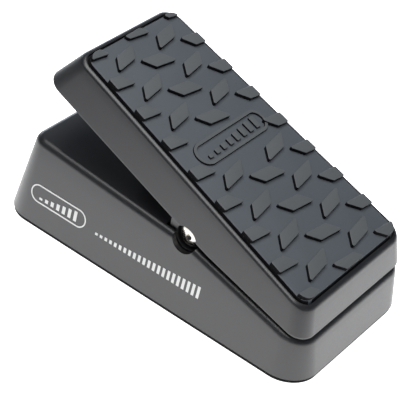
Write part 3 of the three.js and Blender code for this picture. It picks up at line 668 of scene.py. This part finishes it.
def rounded_polygon(poly, radius, steps=5):
    """Rounds each corner of a convex anticlockwise polygon, by no more than its sides allow."""
    out = []
    n = len(poly)
    for i in range(n):
        c = Vector(poly[i])
        u, v = Vector(poly[i - 1]) - c, Vector(poly[(i + 1) % n]) - c
        lu, lv = u.length, v.length
        u.normalize()
        v.normalize()
        half = math.acos(max(-0.9999, min(0.9999, u.dot(v)))) / 2
        reach = min(radius / math.tan(half), 0.42 * lu, 0.42 * lv)
        r = reach * math.tan(half)
        centre = c + (u + v).normalized() * (r / math.sin(half)) if half < 1.56 else c
        start = c + u * reach - centre
        sweep = math.pi - 2 * half
        for k in range(steps + 1):
            x, y = turned(start, sweep * k / steps)
            out.append((centre.x + x, centre.y + y))
    return out


PAD_TOP = RIM_Z + PAD_PROUD
LUG_TOP = PAD_TOP + LUG_HEIGHT
PAD_EDGE, PAD_ROUND = PAD_INSET + 0.3, 0.4
LUG_START = 10.5  # from the toe to the first lug
LUG_STAGGER = 0.53  # shift of every other column, in pitches
LEAST_LUG_AREA = 4


def lug_polygons():
    """The leaning lugs of the tread, column by column from the toe, cut off at the tread's edge."""
    limit = [tuple(p) for p in rim_outline(PAD_EDGE)][::2]
    for column in range(-2, 3):
        odd = column % 2 != 0
        slant = 1 if odd else -1
        y = RIM_Y1 - LUG_START + (0 if odd else LUG_STAGGER * LUG_PITCH)
        while y > RIM_Y0:
            under_badge = abs(column) < 2 and abs(y - BADGE_Y) < BADGE_CLEARANCE
            poly = [] if under_badge else lug_polygon(column, y, slant)
            for a, b in zip(limit, limit[1:] + limit[:1]):
                poly = clip(poly, a, b)
            poly = tidy_polygon(poly)
            if len(poly) > 2 and area(poly) > LEAST_LUG_AREA:
                yield poly
            y -= LUG_PITCH


def lug_polygon(column, y, slant):
    poly = []
    for s, t in ((-1, -1), (1, -1), (1, 1), (-1, 1)):
        cx = column * LUG_PITCH + (s * LUG_LONG[0] + t * LUG_SHORT[0]) / 2
        cy = y + slant * (s * LUG_LONG[1] + t * LUG_SHORT[1]) / 2
        poly.append((cx * narrowing(cy), cy))
    return poly if slant > 0 else poly[::-1]


def paint_side_shade(bm):
    """Gives the steep faces of a moulding the second material slot, where a near-black rubber
    paints the shade on the moulding's sides.
    """
    bm.normal_update()
    for face in bm.faces:
        face.material_index = 1 if abs(face.normal.z) < 0.55 else 0


def raise_polygon(bm, poly, z0, z1, corner=0.55, edge=0.25):
    """A moulded block: straight sides, rounded corners, a rounded upper edge."""
    base = rounded_polygon(poly, corner)
    rings = [(0.0, z0), (0.0, z1 - edge)]
    rings += [(edge * (1 - cosine), z1 - edge + edge * sine) for sine, cosine in quarter_turn(4, 1)]
    rows = []
    for inset, z in rings:
        row = []
        for i, p in enumerate(base):
            before, after = Vector(base[i - 1]), Vector(base[(i + 1) % len(base)])
            along = (after - before).normalized()
            inward = Vector((-along.y, along.x))
            q = Vector(p) + inward * inset
            row.append(bm.verts.new((q.x, q.y, z)))
        rows.append(row)
    n = len(base)
    for a, b in zip(rows, rows[1:]):
        for i in range(n):
            j = (i + 1) % n
            bm.faces.new((a[i], a[j], b[j], b[i]))
    bm.faces.new(rows[-1])
    bm.faces.new(list(reversed(rows[0])))


def build_pad():
    outline = rim_outline(PAD_EDGE)
    rings = [[flared(p, z) for p in outline]
             for z in (RIM_Z - PAD_RECESS + 0.3, PAD_TOP - PAD_ROUND)]
    for sine, cosine in quarter_turn(4, 1):
        rings.append([flared(p, PAD_TOP - PAD_ROUND + PAD_ROUND * sine)
                      for p in rim_outline(PAD_EDGE + PAD_ROUND * (1 - cosine))])
    sheet = loft(rings)
    paint_side_shade(sheet)
    finish_object("tread_sheet", sheet, [TREAD, TREAD_PAINTED_SHADE], TREADLE, TREADLE_MATRIX,
                  replaces=("tread_pad",))
    bm = bmesh.new()
    for poly in lug_polygons():
        raise_polygon(bm, poly, PAD_TOP - 0.2, LUG_TOP)
    paint_side_shade(bm)
    finish_object("tread_lugs", bm, [LUG_TOP_RUBBER, TREAD_PAINTED_SHADE], TREADLE, TREADLE_MATRIX)


def capsule_outline(half, radius, steps=24):
    straight = half - radius
    right = [(straight + radius * math.cos(a), radius * math.sin(a))
             for a in [-math.pi / 2 + math.pi * k / steps for k in range(steps + 1)]]
    return right + [(-x, -y) for x, y in right]


def frame_ring(outer, inner, z0, z1):
    """A raised border with soft edges between two outlines of equal length, in the XY plane."""
    soft = 0.15
    rings = []
    for outline, z, f in ((outer, z0, 0), (outer, z1 - soft, 0), (outer, z1, soft),
                          (inner, z1, -soft), (inner, z1 - soft, 0), (inner, z0, 0)):
        row = []
        for p in outline:
            v = Vector(p)
            row.append((v.x * (1 - f / max(v.length, 1)), v.y * (1 - f / max(v.length, 1)), z))
        rings.append(row)
    return loft(rings, False, False)


def build_badge():
    at = TREADLE_MATRIX @ Matrix.Translation((0.4, BADGE_Y, 0))
    width = 1.35
    border = frame_ring(capsule_outline(BADGE_HALF, BADGE_R),
                        capsule_outline(BADGE_HALF - width, BADGE_R - width), PAD_TOP - 0.1,
                        PAD_TOP + BADGE_HEIGHT)
    paint_side_shade(border)
    finish_object("badge_border", border, [LUG_TOP_RUBBER, TREAD_PAINTED_SHADE], TREADLE, at)
    bm = bmesh.new()
    bars = 8
    foot, half_width = -2.7, 1.25
    for k in range(bars):
        x = -15.6 + 31.2 * k / (bars - 1)
        tip = foot + 1.6 + 3.8 * k / (bars - 1)
        raise_polygon(bm, [(x - half_width, foot), (x + half_width, foot), (x + half_width, tip),
                           (x - half_width, tip)], PAD_TOP - 0.1, PAD_TOP + BADGE_HEIGHT, 0.4, 0.15)
    paint_side_shade(bm)
    finish_object("badge_level_bars", bm, [LUG_TOP_RUBBER, TREAD_PAINTED_SHADE], TREADLE, at)


build_pad()
build_badge()

# ---- pivot


def build_pivot():
    """The domed pivot screws with their hexagon sockets, the nylon bushes and the rod."""
    seat = 29.5  # where the dome meets the ear, along X
    profile = [(seat - 14, 0), (seat - 14, 2.6), (seat - 13.6, 3.0), (seat, 3.0), (seat, 5.0),
               (seat + 0.15, 5.2)]
    profile += [(seat + 0.15 + 2.25 * sine, 5.2 * cosine) for sine, cosine in quarter_turn(12, 1)]
    for side, flip in (("right", 1), ("left", -1)):
        matrix = on_side(flip)
        screw = finish_object(f"pivot_screw_dome_{side}", lathe(profile), CHROME, TREADLE, matrix,
                              replaces=(f"pivot_screw_{side}",))
        cut(screw, [scratch(lathe([(seat + 1.2, 0), (seat + 1.2, 1.4), (40, 1.4), (40, 0)], "X", 6),
                            matrix)])
        bush = lathe([(15, 5.1), (15, 7), (22.3, 7), (22.3, 8.1), (22.5, 8.3), (23.3, 8.3),
                      (23.5, 8.1), (23.5, 5.1), (15, 5.1)], "X", 64, (0, PIVOT_Y, PIVOT_Z))
        finish_object(f"nylon_bush_{side}", bush, NYLON, CHASSIS, Matrix.Scale(flip, 4, (1, 0, 0)),
                      replaces=(f"pivot_bush_{side}",))
    shaft = lathe([(-24.7, 0), (-24.7, 4.7), (-24.4, 5), (24.4, 5), (24.7, 4.7), (24.7, 0)])
    finish_object("pivot_rod", shaft, ZINC, TREADLE, TREADLE_MATRIX, replaces=("pivot_shaft",))


build_pivot()

# ---- jacks


JACK_NUT_FLATS, POT_NUT_FLATS = 11.6, 9.3


def hexagon(across_flats):
    r = across_flats / math.sqrt(3)
    return [(r * math.cos(math.pi / 3 * k), r * math.sin(math.pi / 3 * k)) for k in range(6)]


def build_jacks():
    for name, x in zip(("left", "middle", "right"), JACK_X):
        at = (x, 0, JACK_Z)
        barrel = lathe([(60, 4.4), (70.7, 4.4), (71, 4.1), (71, 3.6), (70.7, 3.4), (48, 3.4),
                        (47.5, 0)], "Y", 64, at)
        body = block(x - 6.5, x + 6.5, 46, 64.1, JACK_Z - 7, JACK_Z + 7)
        jack_body = finish_object(f"jack_body_{name}", body, BLACK_NYLON, CHASSIS,
                                  replaces=(f"jack_{name}",))
        cut(jack_body, [scratch(cylinder_y(3.6, 47.4, 80, x, JACK_Z))])
        finish_object(f"jack_barrel_{name}", barrel, BLACK_NYLON, CHASSIS)
        washer = lathe([(67.7, 4.7), (67.7, 6.45), (67.85, 6.6), (68.05, 6.6), (68.2, 6.45),
                        (68.2, 4.7), (67.7, 4.7)], "Y", 64, at)
        finish_object(f"jack_washer_ring_{name}", washer, ZINC, CHASSIS,
                      replaces=(f"jack_washer_{name}",))
        flats = [(x + a, JACK_Z + b) for a, b in hexagon(JACK_NUT_FLATS)]
        nut = finish_object(f"jack_hex_nut_{name}", prism(flats, 68.5, 70.5, "XZ"), ZINC, CHASSIS,
                            replaces=(f"jack_nut_{name}",))
        cone = scratch(lathe([(68.0, 0), (68.0, 6.9), (69.9, 6.9), (70.9, 5.2), (70.9, 0)], "Y", 64,
                             at))
        cut(nut, [cone], "INTERSECT")
        cut(nut, [scratch(cylinder_y(4.7, 60, 80, x, JACK_Z))])


build_jacks()

# ---- drive, bumpers and potentiometer

SECTOR_R, SECTOR_INNER_R, SECTOR_HALF = 40.0, 30.0, 3.0
SECTOR_LOW, SECTOR_HIGH = math.radians(-46), math.radians(27)
BAND_LOW, BAND_HIGH, BAND_HALF, BAND_THICKNESS = math.radians(-45.2), math.radians(0.8), 2.0, 0.4
BAND_SCREWS = {"low": math.radians(-43.7), "high": math.radians(-1.2)}
GAP = 0.3
POT_BUSH_R, SCREW_HOLE_R = 3.9, 1.5
PULLEY_ANGLE, PULLEY_DISTANCE, WRAP_R = math.radians(-10), 45.0, 4.0
PULLEY_AT = (0, PIVOT_Y + PULLEY_DISTANCE * math.cos(PULLEY_ANGLE),
             PIVOT_Z + PULLEY_DISTANCE * math.sin(PULLEY_ANGLE))
# x, y, radius, z from and to
BUMPERS = {"heel": (22, -43, 4.5, 7.3, 9.6), "toe": (17, 62, 4.5, 1.4, 4.0)}


def arc_strip(inner, outer, low, high):
    return arc_points(outer, 72, low, high) + arc_points(inner, 72, low, high)[::-1]


def pan_head(head_r, head_z, tall, shank_r, tip_z):
    """A screw that points up, from its rounded head below to its tip."""
    profile = [(head_z - tall, 0)]
    profile += [(head_z - tall + 0.35 * (1 - math.cos(t)), head_r - 0.35 * (1 - math.sin(t)))
                for t in (0, 0.5, 1.0, math.pi / 2)]
    return profile + [(head_z, head_r), (head_z, shank_r), (tip_z - 0.5, shank_r), (tip_z, 0)]


def build_sector():
    half, y0, y1, low, screw_x = SECTOR_SEAT
    foot_top, foot_low = low - GAP, 10.7
    outline = arc_strip(SECTOR_INNER_R, SECTOR_R, SECTOR_LOW, SECTOR_HIGH)
    arc = finish_object("sector_arc", prism(outline, -SECTOR_HALF, SECTOR_HALF), BLACK_NYLON,
                        TREADLE, TREADLE_MATRIX, replaces=("drive_sector",))
    cut(arc, [scratch(block(-20, 20, 0, 60, foot_top - 0.6, 60), TREADLE_MATRIX)])
    bevel(arc, 0.3)
    foot = finish_object("sector_foot", block(-half, half, y0, y1, foot_low, foot_top), BLACK_NYLON,
                         TREADLE, TREADLE_MATRIX)
    cut(foot, [scratch(cylinder_z(SCREW_HOLE_R, 0, 30, sign * screw_x, (y0 + y1) / 2),
                       TREADLE_MATRIX) for sign in SIDES.values()])
    bevel(foot, 0.5)
    for side, sign in SIDES.items():
        screw = lathe(pan_head(2.2, foot_low - GAP, 1.6, 1.2, CEILING_Z + 0.6), "Z", 40,
                      (sign * screw_x, (y0 + y1) / 2, 0))
        finish_object(f"sector_pan_screw_{side}", screw, ZINC, TREADLE, TREADLE_MATRIX,
                      replaces=(f"sector_screw_{side}",))


def build_band():
    inner = SECTOR_R + GAP
    strip = prism(arc_strip(inner, inner + BAND_THICKNESS, BAND_LOW, BAND_HIGH), -BAND_HALF,
                  BAND_HALF)
    finish_object("band_strip", strip, BAND_STEEL, TREADLE, TREADLE_MATRIX,
                  replaces=("drive_band",))
    seat = inner + BAND_THICKNESS + GAP
    for end, angle in BAND_SCREWS.items():
        profile = [(SECTOR_R - 3.5, 0), (SECTOR_R - 3.5, 0.7), (seat, 0.7), (seat, 1.7),
                   (seat + 0.6, 1.7), (seat + 0.9, 1.45), (seat + 1, 1), (seat + 1, 0)]
        finish_object(f"band_pan_screw_{end}", lathe(profile, "Y", 32), ZINC, TREADLE,
                      TREADLE_MATRIX @ Matrix.Rotation(angle, 4, "X"),
                      replaces=(f"band_screw_{end}",))
    hoop = lathe([(-BAND_HALF, WRAP_R - BAND_THICKNESS), (-BAND_HALF, WRAP_R), (BAND_HALF, WRAP_R),
                  (BAND_HALF, WRAP_R - BAND_THICKNESS), (-BAND_HALF, WRAP_R - BAND_THICKNESS)],
                 at=PULLEY_AT)
    finish_object("band_hoop", hoop, BAND_STEEL, PULLEY, replaces=("band_wrap",))


def build_bumpers():
    for end, (x, y, radius, low, high) in BUMPERS.items():
        profile = [(low, 0)] + [(low + 1.1 * (1 - cosine), radius - 1.1 * (1 - sine))
                                for sine, cosine in quarter_turn(6)]
        profile += [(high - 0.2, radius), (high, radius - 0.2), (high, 0)]
        for side, sign in SIDES.items():
            finish_object(f"rubber_bumper_{end}_{side}", lathe(profile, "Z", 56, (sign * x, y, 0)),
                          RUBBER, TREADLE, TREADLE_MATRIX, replaces=(f"bumper_{end}_{side}",))


def build_pulley():
    profile = [(-4.5, 2.3), (-4.5, 5.3), (-4.3, 5.5), (-3.7, 5.5), (-3.5, 5.3), (-3.5, 3.3),
               (3.5, 3.3), (3.5, 5.3), (3.7, 5.5), (4.3, 5.5), (4.5, 5.3), (4.5, 4.6), (9.2, 4.6),
               (9.5, 4.3), (9.5, 2.3), (-4.5, 2.3)]
    wheel = finish_object("pulley_wheel", lathe(profile, at=PULLEY_AT), BLACK_NYLON, PULLEY,
                          replaces=("pulley",))
    cut(wheel, [scratch(cylinder_z(1.3, PULLEY_AT[2] + 2, PULLEY_AT[2] + 8, 7, PULLEY_AT[1]))])
    spindle = lathe([(-12, 0), (-12, 1.8), (-11.8, 2), (8.9, 2), (9.2, 1.7), (9.2, 0)],
                    at=PULLEY_AT)
    finish_object("pot_spindle", spindle, ZINC, PULLEY, replaces=("pot_shaft",))


def build_pot():
    can = lathe([(-20.8, 0), (-20.8, 7), (-20.5, 7.6), (-20, 8), (-11.3, 8), (-10.8, 7.6),
                 (-10.8, 3.6), (-5.6, 3.6), (-5.3, 3.3), (-5.3, 2.3), (-12.6, 2.3), (-12.6, 0)],
                at=PULLEY_AT)
    finish_object("pot_can", can, ZINC, CHASSIS, replaces=("pot_body",))
    _, y, z = PULLEY_AT
    for k, offset in enumerate((-3.5, 0, 3.5)):
        tab = block(-13.4, -12.6, y + offset - 0.9, y + offset + 0.9, z - 12.5, z - 7)
        lug = finish_object(f"pot_lug_{k + 1}", tab, ZINC, CHASSIS)
        bevel(lug, 0.15, 2)
    washer = lathe([(-8.7, 3.9), (-8.7, 5.4), (-8.5, 5.6), (-8.4, 5.6), (-8.2, 5.4), (-8.2, 3.9),
                    (-8.7, 3.9)], at=PULLEY_AT)
    finish_object("pot_washer_ring", washer, ZINC, CHASSIS, replaces=("pot_washer",))
    flats = [(y + a, z + b) for a, b in hexagon(POT_NUT_FLATS)]
    nut = finish_object("pot_hex_nut", prism(flats, -7.9, -6.1), ZINC, CHASSIS,
                        replaces=("pot_nut",))
    cut(nut, [scratch(cylinder_x(POT_BUSH_R, -10, 0, y, z))])
    bevel(nut, 0.2, 2)


def build_bracket():
    _, y, z = PULLEY_AT
    plate = finish_object("bracket_plate", block(-10.5, -9, 10, y + 8, 18, 32.8), ZINC, CHASSIS,
                          replaces=("pot_bracket",))
    cut(plate, [scratch(cylinder_x(POT_BUSH_R, -12, -8, y, z))])
    bevel(plate, 0.25, 2)
    flange = finish_object("bracket_flange", block(-21.5, -10.3, 10, 23, 31.3, 32.8), ZINC, CHASSIS)
    cut(flange, [scratch(cylinder_z(SCREW_HOLE_R, 30, 34, BRACKET_SCREW_X, at))
                 for at in BRACKET_SCREWS.values()])
    bevel(flange, 0.25, 2)
    for end, at in BRACKET_SCREWS.items():
        screw = lathe(pan_head(2.5, 31.0, 1.7, 1.2, 34.8), "Z", 40, (BRACKET_SCREW_X, at, 0))
        finish_object(f"bracket_pan_screw_{end}", screw, ZINC, CHASSIS,
                      replaces=(f"bracket_screw_{end}",))


build_sector()
build_band()
build_bumpers()
build_pulley()
build_pot()
build_bracket()

# ---- carried-over CAD nodes

KEPT = {
    "pulley_set_screw": ZINC, "circuit_board": BOARD, "slide_switch": ZINC,
    "switch_slider": BLACK_NYLON, "pot_wire_1": SLEEVE, "pot_wire_2": SLEEVE, "pot_wire_3": SLEEVE,
}
for name, mat in KEPT.items():
    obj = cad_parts[name]
    if not obj.material_slots:
        obj.data.materials.append(mat)
    for slot in obj.material_slots:
        slot.material = mat

# ---- printed graphics on the left wall


def wall_x(y, z):
    """Outer face of the left wall at that place."""
    lean = (HEEL_HALF - TOE_HALF) / LENGTH
    half = HEEL_HALF - lean * (y + LENGTH / 2)
    return -half * (1 - SIDE_DRAFT * (z - CHASSIS_Z) / HEEL_HALF)


def printed(name, polygons):
    """Thin ink shapes, given in (y, z), laid on the left wall."""
    bm = bmesh.new()
    for poly in polygons:
        front, back = [], []
        for y, z in poly:
            x = wall_x(y, z)
            front.append(bm.verts.new((x - 0.05, y, z)))
            back.append(bm.verts.new((x + 0.05, y, z)))
        bm.faces.new(front)
        bm.faces.new(list(reversed(back)))
        for i in range(len(poly)):
            j = (i + 1) % len(poly)
            bm.faces.new((front[j], front[i], back[i], back[j]))
    return finish_object(name, bm, INK, CHASSIS)


def ring_strips(outline, width):
    """A border of that width just inside a closed outline, as four-sided pieces."""
    n = len(outline)
    inner = []
    for i, p in enumerate(outline):
        before, after = Vector(outline[i - 1]), Vector(outline[(i + 1) % n])
        along = (after - before).normalized()
        inner.append(Vector(p) + Vector((-along.y, along.x)) * width)
    return [[outline[i], outline[(i + 1) % n], inner[(i + 1) % n], inner[i]] for i in range(n)]


MARK_Y, MARK_Z, MARK_HALF, MARK_R, MARK_LINE, MARK_BARS = 46.4, 17.7, 14.2, 3.95, 0.55, 7
LEVEL_START, LEVEL_END, LEVEL_LOW, LEVEL_HALF_WIDTH, LEVEL_BARS = 27.4, -24.8, 15.4, 0.62, 22


def build_print():
    """A capsule with rising bars in it, and a longer row of rising bars towards the heel."""
    capsule = [(MARK_Y + x, MARK_Z + y) for x, y in capsule_outline(MARK_HALF, MARK_R)]
    printed("wall_mark_border", ring_strips(capsule, MARK_LINE))
    marks = []
    low = MARK_Z - 2.2
    for k in range(MARK_BARS):
        y = MARK_Y + MARK_HALF * 0.62 - 1.24 * MARK_HALF * k / (MARK_BARS - 1)
        tall = 0.9 + 3.6 * k / (MARK_BARS - 1)
        marks.append([(y - 0.75, low), (y + 0.75, low), (y + 0.75, low + tall),
                      (y - 0.75, low + tall)])
    printed("wall_mark_bars", marks)
    bars = []
    for k in range(LEVEL_BARS):
        y = LEVEL_START + (LEVEL_END - LEVEL_START) * (k + 0.5) / LEVEL_BARS
        high = LEVEL_LOW + (1.0 + 4.2 * k / (LEVEL_BARS - 1))
        bars.append([(y + LEVEL_HALF_WIDTH, LEVEL_LOW), (y + LEVEL_HALF_WIDTH, high),
                     (y - LEVEL_HALF_WIDTH, high), (y - LEVEL_HALF_WIDTH, LEVEL_LOW)])
    printed("wall_level_bars", bars)


build_print()

# ---- stage, light and camera

TABLE_BRIGHT_RADIUS, TABLE_FADE_RADIUS, TABLE_GLOW = 0.1, 0.42, 1.5
TABLE_CENTRE_Y, TABLE_Z, TABLE_HALF = -0.05, -0.00002, 4.0
TABLE_WHITE, TABLE_ROUGHNESS = 0.88, 0.9

SKY_COLOR, SKY_STRENGTH = (0.8, 0.92, 1.15, 1), 0.1
LIGHTS = {  # place, aim, size, power in watts, colour
    "side": ((-0.8, -0.3, 0.16), (0, 0, 0.04), (0.5, 0.22), 0.35, (1.0, 0.95, 0.86)),
    "top": ((-0.12, 0.0, 1.0), (0, 0, 0.03), (0.9, 1.0), 14, (1, 1, 1)),
    "far": ((0.6, 0.45, 0.1), (0, 0, 0.04), (0.9, 0.2), 2.4, (0.86, 0.94, 1.05)),
}


def build_stage():
    """A pale table of one colour that also glows near the object and fades with distance."""
    mat = bpy.data.materials.new("paper")
    mat.use_nodes = True
    tree = mat.node_tree
    shader = tree.nodes["Principled BSDF"]
    shader.inputs["Base Color"].default_value = (TABLE_WHITE, TABLE_WHITE, TABLE_WHITE, 1)
    shader.inputs["Roughness"].default_value = TABLE_ROUGHNESS
    shader.inputs["Emission Color"].default_value = (1, 1, 1, 1)
    where = tree.nodes.new("ShaderNodeTexCoord")
    distance = tree.nodes.new("ShaderNodeVectorMath")
    distance.operation = "LENGTH"
    tree.links.new(where.outputs["Object"], distance.inputs[0])
    fade = node(tree, "ShaderNodeMapRange", From_Min=TABLE_BRIGHT_RADIUS,
                From_Max=TABLE_FADE_RADIUS, To_Min=TABLE_GLOW, To_Max=0.0)
    fade.interpolation_type = "SMOOTHSTEP"
    tree.links.new(distance.outputs["Value"], fade.inputs["Value"])
    tree.links.new(fade.outputs["Result"], shader.inputs["Emission Strength"])
    mesh = bpy.data.meshes.new("floor")
    mesh.from_pydata([(sx * TABLE_HALF, sy * TABLE_HALF, TABLE_Z)
                      for sx, sy in ((-1, -1), (1, -1), (1, 1), (-1, 1))], [], [(0, 1, 2, 3)])
    mesh.materials.append(mat)
    floor = bpy.data.objects.new("floor", mesh)
    floor.location.y = TABLE_CENTRE_Y
    bpy.context.collection.objects.link(floor)


def area_light(name, at, target, size, power, color):
    data = bpy.data.lights.new(name, "AREA")
    data.shape = "RECTANGLE"
    data.size, data.size_y = size
    data.energy = power
    data.color = color
    obj = bpy.data.objects.new(name, data)
    obj.location = at
    obj.rotation_euler = (Vector(target) - Vector(at)).to_track_quat("-Z", "Y").to_euler()
    bpy.context.collection.objects.link(obj)


def build_light():
    world = bpy.data.worlds.new("studio")
    world.use_nodes = True
    background = world.node_tree.nodes["Background"]
    background.inputs["Color"].default_value = SKY_COLOR
    background.inputs["Strength"].default_value = SKY_STRENGTH
    bpy.context.scene.world = world
    bpy.context.scene.view_settings.view_transform = "Standard"
    for name, values in LIGHTS.items():
        area_light(name, *values)


CAMERA_AZIMUTH = math.radians(-61.058)
CAMERA_ELEVATION = math.radians(35.235)
CAMERA_ROLL = math.radians(11.835)
CAMERA_TARGET = Vector((8.365, 8.818, 20.5))
CAMERA_DISTANCE = 679.4
LENS, SENSOR_WIDTH = 153.0, 36.0


def build_camera():
    back = Vector((math.sin(CAMERA_AZIMUTH) * math.cos(CAMERA_ELEVATION),
                   -math.cos(CAMERA_AZIMUTH) * math.cos(CAMERA_ELEVATION),
                   math.sin(CAMERA_ELEVATION)))
    right = Vector((0, 0, 1)).cross(back).normalized()
    up = back.cross(right)
    c, s = math.cos(CAMERA_ROLL), math.sin(CAMERA_ROLL)
    right, up = right * c + up * s, up * c - right * s
    data = bpy.data.cameras.new("photo_camera")
    data.sensor_width = SENSOR_WIDTH
    data.lens = LENS
    data.clip_start = 0.01
    camera = bpy.data.objects.new("photo_camera", data)
    bpy.context.collection.objects.link(camera)
    rotation = Matrix((right, up, back)).transposed().to_4x4()
    place = (CAMERA_TARGET + back * CAMERA_DISTANCE) * MM
    camera.matrix_world = Matrix.Translation(place) @ rotation
    bpy.context.scene.camera = camera


build_stage()
build_light()
build_camera()
